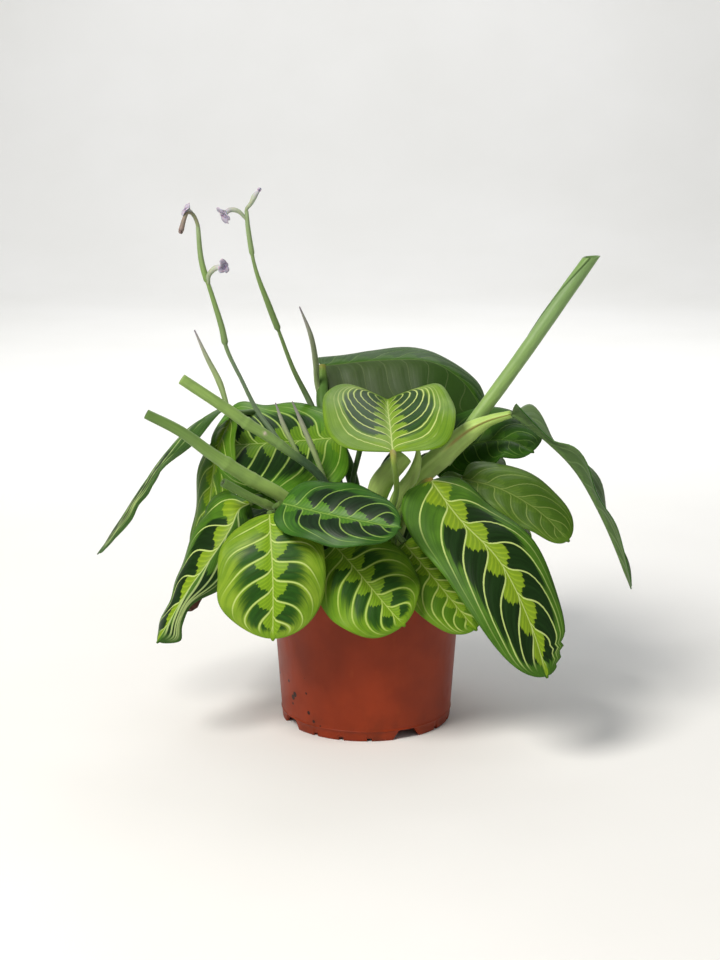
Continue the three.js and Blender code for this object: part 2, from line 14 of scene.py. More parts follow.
import bpy
import numpy as np
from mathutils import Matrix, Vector

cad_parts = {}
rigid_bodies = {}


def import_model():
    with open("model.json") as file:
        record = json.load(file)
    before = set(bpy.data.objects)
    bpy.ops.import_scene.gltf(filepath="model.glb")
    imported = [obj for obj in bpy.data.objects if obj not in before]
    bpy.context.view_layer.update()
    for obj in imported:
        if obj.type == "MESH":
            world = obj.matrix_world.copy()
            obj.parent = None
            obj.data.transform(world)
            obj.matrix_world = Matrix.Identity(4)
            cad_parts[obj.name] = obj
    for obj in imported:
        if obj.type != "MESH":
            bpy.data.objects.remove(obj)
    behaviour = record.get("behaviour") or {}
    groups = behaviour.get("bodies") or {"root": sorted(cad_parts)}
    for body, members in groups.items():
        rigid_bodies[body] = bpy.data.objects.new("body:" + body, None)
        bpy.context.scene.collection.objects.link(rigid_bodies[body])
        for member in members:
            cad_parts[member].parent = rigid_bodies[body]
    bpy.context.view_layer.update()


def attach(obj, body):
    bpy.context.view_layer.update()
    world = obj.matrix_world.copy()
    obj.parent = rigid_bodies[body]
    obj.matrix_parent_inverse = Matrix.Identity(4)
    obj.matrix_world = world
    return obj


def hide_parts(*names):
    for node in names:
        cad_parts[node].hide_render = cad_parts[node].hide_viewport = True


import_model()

# %% [markdown]
# ## Helpers for every finish
#
# Colours are easiest to think of as the hex values that a paint program shows, but a shader adds
# light in linear numbers, so one function turns one into the other. Another adds a node with its
# settings and its links in one go, so that a finish reads like a recipe.

# %% Colours and nodes
# Short names for the usual nodes, with their settings and the sockets that their values fill.
KINDS = {
    "range": ("ShaderNodeMapRange", {}, range(5)),
    "soft range": ("ShaderNodeMapRange", {"interpolation_type": "SMOOTHSTEP"}, range(5)),
    "blend": ("ShaderNodeMix", {"data_type": "RGBA"}, ("Factor_Float", "A_Color", "B_Color")),
    "noise": ("ShaderNodeTexNoise", {}, ("Vector", "Scale", "Detail")),
    "ramp": ("ShaderNodeValToRGB", {}, ("Fac",)),
    "bump": ("ShaderNodeBump", {}, ("Height", "Strength", "Distance", "Normal")),
    "join xyz": ("ShaderNodeCombineXYZ", {}, "XYZ"),
    "split xyz": ("ShaderNodeSeparateXYZ", {}, ("Vector",)),
    "scale": ("ShaderNodeVectorMath", {"operation": "SCALE"}, (0, "Scale")),
    "stored": ("GeometryNodeInputNamedAttribute", {}, ("Name",)),
    "realize": ("GeometryNodeRealizeInstances", {}, ("Geometry",)),
    "paint": ("GeometryNodeSetMaterial", {}, ("Geometry", "Material", "Selection")),
}


def linear(hex_colour):
    """A paint program's hex colour as the linear numbers of a shader."""
    shares = [int(hex_colour[i:i + 2], 16) / 255 for i in (1, 3, 5)]
    return (*[s / 12.92 if s <= 0.04045 else ((s + 0.055) / 1.055) ** 2.4 for s in shares], 1.0)


def wire(tree, node, inputs):
    """Fills a node's inputs from {socket: value}. A value is a number or text, a hex colour,
    an output, or a node, which then stands for its first output in use."""
    for key, value in inputs.items():
        found = [s for s in node.inputs if s.identifier == key] or [node.inputs[key]]
        if isinstance(value, bpy.types.Node):
            value = next(s for s in value.outputs if s.enabled)
        if isinstance(value, bpy.types.NodeSocket):
            tree.links.new(value, found[0])
        else:
            found[0].default_value = linear(value) if str(value).startswith("#") else value
    return node


def add_node(tree, kind, *values, stops=None, **settings):
    """Adds a node with its settings and links. Its kind is a short name, a full name, or in
    capitals an operation of Math. The values fill its sockets in order, or are {socket: value}.
    The stops of a ramp are {place: colour or grey}."""
    if kind.isupper():
        kind, settings = "ShaderNodeMath", {"operation": kind}
    kind, usual, sockets = KINDS.get(kind, (kind, {}, range(len(values))))
    node = tree.nodes.new(kind)
    for name, value in {**usual, **settings}.items():
        setattr(node, name, value)
    if stops:
        while len(node.color_ramp.elements) < len(stops):
            node.color_ramp.elements.new(0.5)
        for element, (place, colour) in zip(node.color_ramp.elements, stops.items()):
            element.position = place
            element.color = linear(colour) if isinstance(colour, str) else (colour,) * 3 + (1,)
    named = values and isinstance(values[0], dict)
    return wire(tree, node, values[0] if named else dict(zip(sockets, values)))


def new_finish(name):
    """A material, functions that add its nodes and fill its skin, and the place on the object."""
    material = bpy.data.materials.new(name)
    material.use_nodes = True
    tree = material.node_tree
    place = add_node(tree, "ShaderNodeTexCoord").outputs["Object"]
    skin = tree.nodes["Principled BSDF"]
    return material, partial(add_node, tree), partial(wire, tree, skin), place


# %% [markdown]
# ## How a piece joins the plant
#
# Every piece is one mesh whose object stays at the origin, so its place is in its points. It
# rides on the plant's only body and stands for one solid.
# Lengths are written in millimetres and become metres when a mesh is made.

# %% Put a piece in its place
MM = 0.001


def mesh_from(name, points, faces, edges=(), smooth=True):
    """A mesh from points in millimetres."""
    mesh = bpy.data.meshes.new(name)
    mesh.from_pydata((np.asarray(points) * MM).tolist(), list(edges), faces)
    if smooth:
        mesh.shade_smooth()
    return mesh


def store(mesh, domain="POINT", **layers):
    """Keeps numbers on a mesh under their names, for a node tree or a finish to read."""
    for name, values in layers.items():
        values = np.asarray(values)
        kind = "FLOAT_VECTOR" if values.ndim > 1 else "FLOAT"
        if values.dtype == bool:
            kind = "BOOLEAN"
        else:
            values = values.astype(np.float32)
        layer = mesh.attributes.new(name, kind, domain).data
        layer.foreach_set("vector" if kind == "FLOAT_VECTOR" else "value", values.ravel())


def show(name, data):
    piece = bpy.data.objects.new(name, data)
    bpy.context.scene.collection.objects.link(piece)
    return piece


def join_plant(piece, node):
    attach(piece, "root")
    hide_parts(node)
    return piece


def work_in(piece):
    """Turns a piece with its modifiers into a plain mesh."""
    bpy.context.view_layer.update()
    graph = bpy.context.evaluated_depsgraph_get()
    mesh = bpy.data.meshes.new_from_object(
        piece.evaluated_get(graph), preserve_all_data_layers=True, depsgraph=graph)
    name = piece.name
    bpy.data.objects.remove(piece)
    made = show(name, mesh)
    mesh.name = name
    return made


# %% [markdown]
# ## Node trees that make shapes
#
# A Geometry Nodes tree is a small machine with named dials. We build each tree in the script,
# give it its dials, and set them on the modifier by their identifiers before the piece is first
# worked out. Two small functions do that for every tree of this lesson.

# %% Build a tree, and use it on a piece
def new_tree(name, **dials):
    """A tree that takes a shape and dials, the function that adds its nodes, and the dials."""
    tree = bpy.data.node_groups.new(name, "GeometryNodeTree")
    for label, kind in {"Geometry": "Geometry", **dials}.items():
        tree.interface.new_socket(label, in_out="INPUT", socket_type="NodeSocket" + kind)
    tree.interface.new_socket("Geometry", in_out="OUTPUT", socket_type="NodeSocketGeometry")
    return tree, partial(add_node, tree), tree.nodes.new("NodeGroupInput").outputs


def use_tree(piece, tree, **values):
    modifier = piece.modifiers.new(tree.name, "NODES")
    modifier.node_group = tree
    for item in tree.interface.items_tree:
        if item.name in values:
            modifier[item.identifier] = values[item.name]


# %% [markdown]
# ## Floor, camera and light
#
# The plant is photographed as for a shop: a pale ground that runs up behind it, and soft light
# from a large lamp above the front, with a weaker one to fill the shadows. The camera looks
# down a little, with a lens that takes in the whole plant from 1.2 metres. The paper's finish is
# the plainest there is: a matt colour that changes a little with a noise.

# %% Studio
def speckled(name, scale, detail, dark, light, relief=None, **skin_settings):
    """A matt finish that varies between two colours, and rises where it is light."""
    material, node, fill_skin, place = new_finish(name)
    grain = node("noise", place, scale, detail)
    fill_skin({"Base Color": node("ramp", grain, stops={0.3: dark, 0.7: light}), **skin_settings})
    if relief:
        fill_skin({"Normal": node("bump", grain, 0.9, relief)})
    return material


def backdrop():
    """A sheet of paper that lies under the plant and bends up far behind it."""
    bend = [math.radians(a) for a in range(6, 91, 6)]
    line = [(-3000, 0), (2000, 0), *[(2000 + 1000 * math.sin(a), 1000 - 1000 * math.cos(a))
                                     for a in bend], (3000, 4000)]
    points = [(x, y, z) for y, z in line for x in (-5000, 5000)]
    faces = [(2 * i, 2 * i + 1, 2 * i + 3, 2 * i + 2) for i in range(len(line) - 1)]
    floor = show("floor", mesh_from("floor", points, faces))
    floor.data.materials.append(
        speckled("matt studio paper", 3.0, 3.0, "#f1f1ef", "#f6f6f5", Roughness=0.9))


def lamp(name, place, aim, size, power, colour):
    light = bpy.data.lights.new(name, "AREA")
    light.shape = "DISK"
    light.size = size
    light.energy = power
    light.color = linear(colour)[:3]
    holder = show(name, light)
    holder.location = place
    holder.rotation_euler = (Vector(aim) - Vector(place)).to_track_quat("-Z", "Y").to_euler()


backdrop()
lamp("large lamp over the front", (-0.85, -0.95, 1.5), (0, 0, 0.15), 0.8, 34, "#fffaf2")
lamp("fill from the right", (1.5, -0.9, 0.9), (0, 0, 0.15), 1.2, 1.5, "#f4f8ff")
lamp("soft light from behind", (0.3, 1.3, 1.5), (0, 0, 0.2), 1.0, 7, "#ffffff")
lamp("wash on the paper", (0, 1.0, 1.7), (0, 2.8, 0.5), 1.5, 22, "#ffffff")

world = bpy.data.worlds.new("pale room")
world.use_nodes = True
wire(world.node_tree, world.node_tree.nodes["Background"], {"Color": "#f4f6f8", "Strength": 0.26})
bpy.context.scene.world = world
bpy.context.scene.view_settings.view_transform = "Standard"

lens = bpy.data.cameras.new("camera")
lens.lens = 71.1
lens.sensor_width = 36.0
lens.clip_start = 0.05
camera = show("camera", lens)
camera.location = (-0.004, -1.1692, 0.4249)
camera.rotation_euler = (math.radians(77), 0, 0)
bpy.context.scene.camera = camera
print("camera", [round(c, 3) for c in camera.location])


# %% [markdown]
# ## A smooth line through a few points
#
# Midribs, stalks and shoots all follow a smooth line through a few points. The solid model used
# centripetal Catmull-Rom curves, which pass through every point without loops, so the same rule
# is written here. A place on the line is a share of its length, from 0 to 1.

# %% The smooth line
class Line:
    FINE = 200  # straight pieces used to measure the length

    def __init__(self, points):
        p = np.array(points, float)
        self.points = np.vstack([2 * p[0] - p[1], p, 2 * p[-1] - p[-2]])
        self.spans = len(p) - 1
        self.ticks = np.linspace(0, 1, self.FINE + 1)
        steps = np.linalg.norm(np.diff(self.raw(self.ticks), axis=0), axis=1)
        self.lengths = np.concatenate([[0], np.cumsum(steps)])
        self.length = self.lengths[-1]

    def raw(self, t):
        place = np.clip(np.atleast_1d(t), 0, 1) * self.spans
        span = np.minimum(place.astype(int), self.spans - 1)
        w = (place - span)[:, None]
        p0, p1, p2, p3 = (self.points[span + k] for k in range(4))
        d0, d1, d2 = (((b - a) ** 2).sum(1, keepdims=True) ** 0.25
                      for a, b in ((p0, p1), (p1, p2), (p2, p3)))
        m1 = ((p1 - p0) / d0 - (p2 - p0) / (d0 + d1) + (p2 - p1) / d1) * d1
        m2 = ((p2 - p1) / d1 - (p3 - p1) / (d1 + d2) + (p3 - p2) / d2) * d1
        return (p1 + m1 * w + (3 * (p2 - p1) - 2 * m1 - m2) * w**2
                + (2 * (p1 - p2) + m1 + m2) * w**3)

    def station(self, u):
        """Where a share of the length falls among the points, counted as 0, 1, 2 and so on."""
        return np.interp(np.atleast_1d(u) * self.length, self.lengths, self.ticks) * self.spans

    def at(self, u):
        return self.raw(self.station(u) / self.spans)

    def way(self, u):
        """The direction of the line."""
        t = self.station(u) / self.spans
        return unit(self.raw(np.minimum(t + 1e-4, 1)) - self.raw(np.maximum(t - 1e-4, 0)))


def unit(a):
    return a / np.linalg.norm(a, axis=-1, keepdims=True)


# %% [markdown]
# ## The leaf blades
#
# A maranta blade is an oval sheet with a midrib, and five to nine veins on each side that
# leave it, lean towards the tip and run on beside the margin. Between the veins the sheet stands
# up a little, so the leaf looks quilted. It could be sculpted, but twenty leaves that share one
# rule look more like one plant. Each leaf is therefore a row in a table: its finish, the half
# width left and right of the midrib, the way it faces at its stalk and at its tip, and the
# points that the midrib passes. What differs from the usual leaf follows by name.

# %% The table of leaves
LEFT, RIGHT, BOTH = (0,), (1,), (0, 1)  # the halves of a blade
LEAF = dict(
    broad=0.46,  # where along the midrib it is widest
    fold=6, curl=25, opening=0,  # degrees: rise of the halves, their droop, how they open out
    ripple=1.5, lobe=0.5,  # mm of waves at the margin; how far the halves reach back
    veins=8, lean=((0.26, 0.42), (0.10, 0.50)), shift=(0.0, 0.5),  # where the veins run
    dark=0.08, spread=(0.48, 0.92),  # where the blotches begin, and fade towards the margin
    torn=(),  # narrow places: where, how long, how deep, in which half
    bend=(), knee=(0, 0, 0), radii=None)  # points and thickness of the stalk


def leaf_row(looks, half, face, tip_face, rib, **more):
    return {**LEAF, "looks": (looks.split() * 2)[:2], "half": half, "face": face,
            "tip_face": tip_face, "rib": rib, **more}


leaves = {
    "front_right": leaf_row("deep", (28, 34), (0.15, -0.65, 0.75), (0.3, -0.85, 0.4),
        [(40, -28, 161), (56, -50, 143), (80, -76, 122), (98, -98, 87), (106, -106, 61)],
        foot=(16, -15), bend=[(22, -18, 140)], knee=(0, 1, -9), broad=0.48, lobe=1.05, veins=7.4,
        lean=((0.1, 0.52), (0.3, 0.42)), shift=(0.0, 0.85), torn=[(0.885, 0.012, 0.16, LEFT),
        (0.925, 0.01, 0.22, LEFT), (0.965, 0.01, 0.2, LEFT)]),
    "front_left": leaf_row("bright", (32, 34), (-0.1, -0.6, 0.8), (-0.1, -0.95, 0.3),
        [(-59, -53, 146), (-58, -64, 139), (-56, -80, 113), (-56, -87, 78)], foot=(-17, -17),
        bend=[(-40, -38, 130)], knee=(5, -2, -7), broad=0.5, veins=6.8, lean=((0.04, 0.3), (0.3, 0.16)),
        spread=(0.3, 1.0), torn=[(0.12, 0.16, 0.16, RIGHT), (0.8, 0.18, -0.14, RIGHT)]),
    "front_dark": leaf_row("shaded", (26, 22), (0, -0.64, 0.77), (0, -0.64, 0.77),
        [(-51, -54, 153), (-29, -68, 151), (-8, -78, 149), (19, -86, 146)], foot=(-10, -14),
        bend=[(-34, -30, 140), (-50, -40, 147)], knee=(4, 2, -5), fold=12, veins=6.2,
        lean=((0.16, 0.4), (0.12, 0.5))),
    "front_centre": leaf_row("fresh", 31, (0.1, -0.75, 0.65), (0.1, -0.9, 0.4),
        [(-20, -50, 126), (-8, -63, 116), (15, -79, 92), (22, -82, 85)], foot=(-3, -21), broad=0.5,
        veins=7, lean=((0.08, 0.36), (0.26, 0.26)), spread=(0.34, 0.98)),
    "under_right": leaf_row("lime", (20, 22), (0.2, -0.7, 0.65), (0.2, -0.9, 0.4),
        [(23, -46, 126), (38, -55, 110), (52, -62, 94), (66, -68, 78)], foot=(7, -23)),
    "right_middle": leaf_row("olive", (23, 16), (0.1, -0.6, 0.8), (0.3, -0.7, 0.6),
        [(60, -9, 158), (83, -19, 154), (107, -30, 142), (124, -39, 126)], foot=(23, -8),
        bend=[(36, -9, 138)], fold=(6, -8), lobe=0.9, veins=7),
    "right_back": leaf_row("plain", (30, 22), (0.1, -0.6, 0.8), (0.3, -0.7, 0.6),
        [(46, 27, 166), (76, 24, 175), (93, 16, 177), (105, 6, 172)], foot=(23, 5),
        bend=[(36, 17, 145)], lobe=1.3),
    "right_hanging": leaf_row("underside shaded", 17, (0.7, 0, 0.7), (0.95, 0, 0.3),
        [(91, -5, 198), (111, -14, 184), (129, -24, 167), (144, -32, 142), (155, -38, 118),
         (163, -42, 97)],
        broad=0.38, fold=30, curl=10, ripple=2.5, torn=[(0.24, 0.08, 0.5, BOTH),
        (0.09, 0.07, -0.5, BOTH), (0.8, 0.14, 0.35, BOTH)]),
    "top_back": leaf_row("plain silver", (30, 47), (0, -0.5, 0.85), (0.3, -0.5, 0.7),
        [(-29, 78, 215), (13, 78, 219), (44, 75, 218), (65, 71, 205), (78, 65, 186)], foot=(-2, 14),
        bend=[(-10, 40, 150), (-28, 58, 190)], knee=(10, -8, -10), fold=(-22, -20), curl=(12, 25),
        lobe=(1.7, 0.6), radii=(3.0, 3.4, 4.0, 4.2, 3.8, 2.8)),
    "top_heart": leaf_row("heart", (44, 42), (0, 0, 1), (0, 0, 1),
        [(16, -42, 182), (15, -10, 190), (14, 20, 195), (14, 50, 197)], foot=(3, -12),
        bend=[(18, -34, 152)], broad=0.5, fold=(27, 28), opening=0.85, curl=10, lobe=1.0, veins=9,
        lean=(0.3, 0.85), dark=0.06, spread=(0.55, 1.0)),
    "left_back": leaf_row("grown", (44, 38), (0, -0.54, 0.84), (0, -0.54, 0.84),
        [(-14, 14, 180), (-42, 12, 178), (-68, 8, 177), (-98, 4, 176)], foot=(-13, 4),
        bend=[(-9, 12, 150)], spread=(0.45, 0.98), torn=[(0.8, 0.22, -0.35, LEFT),
        (0.8, 0.25, -0.3, RIGHT)]),
    "left_middle": leaf_row("meadow", 20, (-0.8, -0.4, 0.4), (-0.7, -0.7, 0.2),
        [(-86, 10, 192), (-94, 1, 175), (-98, -7, 150), (-101, -15, 121), (-105, -21, 91)],
        foot=(-28, 10), bend=[(-46, 38, 150), (-76, 44, 182)], knee=(2, 2, -9)),
    "left_narrow": leaf_row("streaky", 20, (-0.6, 0, 0.8), (-0.8, 0, 0.6),
        [(-91, 12, 200), (-111, -2, 189), (-132, -10, 166), (-151, -16, 138), (-168, -20, 113)],
        foot=(-21, 7), bend=[(-41, 38, 156), (-62, 48, 187)], knee=(1, 1, -9), fold=-8, curl=12,
        ripple=2.5, veins=5, lean=(0.7, 0.9), torn=[(0.68, 0.06, 0.4, BOTH), (0.86, 0.07, -0.3, BOTH)]),
    "left_folded": leaf_row("streaky deep", (22, 29), (-0.3, -0.8, 0.45), (-0.85, -0.4, 0.3),
        [(-72, -34, 148), (-78, -42, 146), (-83, -50, 136), (-94, -57, 120),
         (-109, -63, 100), (-127, -67, 70)],
        foot=(-28, -4), bend=[(-50, -20, 134)], broad=0.32, fold=(-54, 0), veins=5.6,
        lean=((0.7, 0.8), (0.1, 0.5)), torn=[(0.74, 0.16, 0.62, LEFT), (0.78, 0.08, 0.35, RIGHT),
        (0.94, 0.05, -0.6, BOTH)]),
    "back_left_high": leaf_row("deep", (24, 28), (-0.2, 0.2, 0.95), (-0.5, 0.5, 0.7),
        [(-34, 52, 164), (-54, 73, 168), (-76, 90, 156), (-92, 101, 134)], foot=(-16, 24)),
    "back_right_high": leaf_row("deep", 28, (0.2, 0.2, 0.95), (0.5, 0.5, 0.7),
        [(34, 46, 172), (56, 69, 172), (74, 89, 156), (86, 103, 130)], foot=(8, 12),
        bend=[(10, 26, 156)]),
    "back_middle": leaf_row("fresh", 29, (-0.1, 0.2, 0.95), (-0.1, 0.7, 0.6),
        [(-14, 50, 134), (-20, 73, 130), (-26, 95, 113), (-30, 108, 84)], foot=(4, 22)),
    "back_low": leaf_row("deep", 27, (0.1, 0.4, 0.9), (0.3, 0.9, 0.4),
        [(24, 50, 128), (36, 72, 120), (46, 90, 98), (52, 100, 66)], foot=(12, 22)),
    "back_right_low": leaf_row("bright", 26, (0.2, 0.1, 0.95), (0.6, 0.4, 0.6),
        [(50, 22, 136), (76, 40, 134), (94, 52, 116), (104, 60, 92)], foot=(20, 13)),
    "back_left_low": leaf_row("shaded", (34, 32), (-0.2, 0.1, 0.95), (-0.6, 0.4, 0.6),
        [(-52, 22, 134), (-74, 38, 132), (-92, 50, 112), (-102, 56, 84)], foot=(-33, 3), fold=(-8, 34)),
}
print(len(leaves), "leaves")


# %% [markdown]
# ### The shape of a blade
#
# The blade leaves its midrib at a fold angle and curls down towards its margin. The half width
# grows and shrinks along the rib as a rounded oval. The real margin is never quite even, so
# a few slow waves go through the whole sheet, and the tip is drawn out to a short point.

# %% Points of a blade
END_HALF_WIDTH = 1.4
POINT_HALF_WIDTH = 0.5
WAVES = 2.5  # slow waves from stalk to tip
both = partial(np.resize, new_shape=2)  # one value, or one for each half


def half_widths(leaf, u, side):
    s = np.clip(u, 0, 1) ** (math.log(0.5) / math.log(leaf["broad"]))
    oval = np.maximum(0, 1 - np.abs(2 * s - 1) ** 2.3) ** 0.55
    width = END_HALF_WIDTH + (both(leaf["half"])[side] - END_HALF_WIDTH) * oval
    for where, reach, depth, halves in leaf["torn"]:
        if side in halves:
            width = width * (1 - depth * np.exp(-((u - where) / reach) ** 2))
    return np.where(u > 1, POINT_HALF_WIDTH, width)


def blade_points(leaf, line, u, v, number):
    """Points of the sheet for rows u and columns v, and the half width at each of them."""
    along = line.way(u)
    face = np.array(leaf["face"]) + np.outer(np.clip(u, 0, 1),
                                             np.subtract(leaf["tip_face"], leaf["face"]))
    right = unit(np.cross(along, face))
    up = np.cross(right, along)
    origin = line.at(u) + along * (np.maximum(u - 1, 0) * line.length)[:, None]
    u, t, side, sign = u[:, None], np.abs(v), (v > 0).astype(int), np.where(v < 0, -1, 1)
    width = np.where(side, half_widths(leaf, u, 1), half_widths(leaf, u, 0))
    full, lobe = both(leaf["half"])[side], both(leaf["lobe"])[side]
    fold, curl = (np.radians(both(leaf[k]))[side] for k in ("fold", "curl"))
    curl = curl + 1e-6
    fold = fold * (1 + leaf["opening"] * (np.clip(u, 0, 1) - 0.75))
    slope = fold - curl * t
    across = width * (np.sin(fold) - np.sin(slope)) / curl
    lift = width * (np.cos(slope) - np.cos(fold)) / curl
    ripple = leaf["ripple"] * np.sin(WAVES * 2 * np.pi * u + 2 * side) * t * t
    ripple = ripple + 0.5 * np.sin(17 * u + 1.7 * number + 3 * side) * t**3
    ripple = ripple + 0.5 * np.sin(5 * u + 4 * t + number) * np.sin(3 * u + 2.2 * number) * t
    back = lobe * full * (t * width / full) ** 2 * (1 - np.minimum(u, 1)) ** 3
    points = origin[:, None]
    for amount, way in ((sign * across, right), (lift + ripple * width / full, up), (-back, along)):
        points = points + amount[..., None] * way[:, None]
    return points, width


# %% [markdown]
# ### Where the veins run
#
# A vein is a line of one number: the count of veins from the stalk. Near the midrib that count
# grows along the rib; further out the veins lean to the tip, first a little and near the margin
# very much. So count = veins * (u - a*t - c*t^4), with u along the rib and t out to the margin,
# and a vein runs wherever the count is whole. Close to the stalk all of them lean less. A small
# extra term bends each vein round where it leaves the midrib, like the shoulder of a road. The
# count is stored on the corners of each face, because left and right veins do not meet in
# pairs, together with how many millimetres one count is there, so that a vein can be drawn
# with its real width.

# %% Vein numbers for each corner
def smooth_step(low, high, x):
    t = np.clip((x - low) / (high - low), 0, 1)
    return t * t * (3 - 2 * t)


def vein_numbers(leaf, line, u, t, width, side, number):
    """For one half of a blade: the three triples of numbers that its finish reads."""
    a, c = np.resize(leaf["lean"], (2, 2))[side]
    wander = 0.012 * np.sin(9 * u + 5 * t + number) + 0.008 * np.sin(23 * u - 4 * t + 2 * number)
    shoulder = 0.035 * np.exp(-t / 0.05)
    swing = np.minimum(1, 0.35 + 0.8 * u)
    start = u - (a * t + c * t**4) * swing + wander * t + shoulder
    count = leaf["veins"] * start + (leaf["shift"][side] + 0.1 * number) % 1
    by_rib = leaf["veins"] / line.length
    by_width = leaf["veins"] * (a + 4 * c * t**3) * swing / width
    spacing = 1 / np.sqrt(by_rib**2 + by_width**2)
    fade = (1 - smooth_step(0.66, 0.96, t)) * (1 - smooth_step(0.90, 0.98, u))
    fade = fade * smooth_step(-0.03, 0.0, start)
    band = 0.34 - 0.14 * u + 0.25 * np.exp(-((u / 0.13) ** 2))
    level = 1 - smooth_step(*leaf["spread"], t)
    level = level * smooth_step(leaf["dark"], leaf["dark"] + 0.16, start)
    level = level * (1 - smooth_step(0.9, 1.0, u))
    return (np.stack([count, spacing, fade], -1),
            np.stack([t / band, t * width, level], -1),
            np.stack([u, t, np.full_like(u, number + 0.5 * side)], -1))


# %% [markdown]
# ### Quilting, with Geometry Nodes
#
# The sheet stands up between its veins by a third of a millimetre or so. A tree reads the vein
# count of every point, turns it into a row of pillows with a sine, and pushes the point out
# along its normal. The midrib lies in a groove of its own. Last the tree gives each half its
# finish. The sheet gets its thickness later, from Solidify, with another finish underneath.

# %% The quilting tree
PILLOW = 0.7  # below 1 a pillow is round on top and steep beside the vein


def quilting_tree():
    tree, node, dial = new_tree("quilted blade", quilt_height="Float", rib_depth="Float",
                                left_finish="Material", right_finish="Material")
    count, level, groove = (node("stored", label) for label in ("count", "level", "groove"))
    hump = node("ABSOLUTE", node("SINE", node("MULTIPLY", count, math.pi)))
    quilt = node("MULTIPLY", node("POWER", hump, PILLOW), level)
    height = node("SUBTRACT", node("MULTIPLY", quilt, dial["quilt_height"]),
                  node("MULTIPLY", groove, dial["rib_depth"]))
    push = node("scale", node("GeometryNodeInputNormal"), height)
    shape = node("GeometryNodeSetPosition", {"Geometry": dial["Geometry"], "Offset": push})
    shape = node("realize", shape)
    right = node("stored", "right_half", data_type="BOOLEAN")
    for half, finish in ((True, dial["left_finish"]), (right, dial["right_finish"])):
        shape = node("paint", shape, finish, half)
    node("NodeGroupOutput", shape)
    return tree


# %% [markdown]
# ### The living skin of a leaf
#
# A prayer plant shows five greens. Over a mid green margin lie dark blotches between the veins,
# with soft streaked outer ends. Along the midrib runs a bright lime band with a jagged edge:
# after each vein it reaches far out, and before the next it is cut back. Fine stripes cross
# it, and pale veins lie over everything. All of this follows the vein count, so the finish reads
# the numbers on the corners. The skin is waxed, which gives a soft, wide shine.

# %% The leaf finish
STRIPES = 5.0  # fine stripes, and teeth of the band, from one vein to the next
LEAF_SHINE = 0.36


def leaf_finish(name, colours, look):
    material, node, fill_skin, place = new_finish(name)
    margin, sunny, shady, dark, dark_too, lime, lime_too, pale = colours.split()
    (count, spacing, fade), (out, across, level), (along, t, seed) = (
        node("split xyz", node("ShaderNodeAttribute", attribute_name=label).outputs["Vector"])
        .outputs for label in ("veins", "place", "where"))

    # Distance from the nearest vein in millimetres; veins and midrib get thinner as they go.
    beside = node("MULTIPLY", node("PINGPONG", count, 0.5), spacing)
    half_vein = node("range", t, 0, 1, look["vein"], look["vein"] * 0.55)
    vein = node("soft range", beside, node("MULTIPLY", half_vein, 0.4), half_vein, 1, 0)
    half_rib = node("range", along, 0, 1, 0.75, 0.35)
    midrib = node("MULTIPLY", node("soft range", across, 0.2, half_rib, 1, 0),
                  node("soft range", along, 0.93, 0.99, 0.8, 0))
    lines = node("MAXIMUM", node("MULTIPLY", vein, fade), midrib)

    # Streaks that run with the veins, and slow changes over the whole leaf.
    stretched = node("join xyz", node("MULTIPLY", count, 7.0), node("MULTIPLY", t, 1.6), seed)
    streaks = node("noise", stretched, 1.0, 3.0)
    clouds = node("noise", place, 60.0, 2.0)

    # The lime band: its edge reaches out after a vein and is cut back before the next.
    edge = node("ramp", node("FRACT", count), stops={
        0: 0.66, 0.06: 1.0, 0.32: 0.90, 0.58: 0.66, 0.68: 0.38, 0.86: 0.24, 1: 0.12})
    fine = node("MULTIPLY", count, STRIPES)
    frayed = node("MULTIPLY_ADD", streaks, 0.34, node("MULTIPLY", node("FRACT", fine), 0.13))
    reach = node("MULTIPLY_ADD", edge, look["band"], frayed)
    band = node("soft range", node("SUBTRACT", reach, out), 0.06, 0.16)
    stripe = node("soft range", node("PINGPONG", fine, 0.5), 0.05, 0.3)

    # Dark blotches between band and margin, with streaked ends; greener close to a vein.
    halo = node("soft range", beside, 0.3, 1.8, look["halo"] + 0.45, 0.45)
    ragged = node("SUBTRACT", node("MULTIPLY_ADD", streaks, 0.9, level), halo)
    low = look["dark_from"]
    blotch = node("soft range", ragged, low, low + look["soft"], 0, look["strength"])

    # Each colour is a mix of two, and they lie over each other: margin, blotches, band, veins.
    tone = node("blend", node("soft range", clouds, 0.35, 0.65), margin, sunny)
    dark = node("blend", node("soft range", streaks, 0.3, 0.7), dark, dark_too)
    lime = node("blend", stripe, lime, lime_too)
    for share, colour in (
            (node("soft range", streaks, 0.42, 0.68, 0, 0.65), shady), (blotch, dark),
            (node("MULTIPLY", band, look["band_strength"]), lime),
            (node("soft range", along, 0.35, 0.75, 0, look["far_share"]), look["far"]),
            (node("MULTIPLY", lines, look["vein_strength"]), pale)):
        tone = node("blend", share, tone, colour)

    relief = node("MULTIPLY_ADD", stripe, 0.18, node("MULTIPLY", lines, 0.7))
    relief = node("MULTIPLY_ADD", streaks, 0.5, relief)
    fill_skin({
        "Base Color": tone, "Normal": node("bump", relief, 0.5, 0.25 * MM), "IOR": 1.42,
        "Roughness": node("range", streaks, 0.2, 0.8, LEAF_SHINE, LEAF_SHINE + 0.14),
        "Specular IOR Level": look["gloss"], "Subsurface Weight": 0.05,
        "Subsurface Radius": (0.6, 1.0, 0.25), "Subsurface Scale": 0.8 * MM,
        "Sheen Weight": look["sheen"], "Sheen Roughness": 0.4, "Sheen Tint": "#c9d6e0"})
    return material
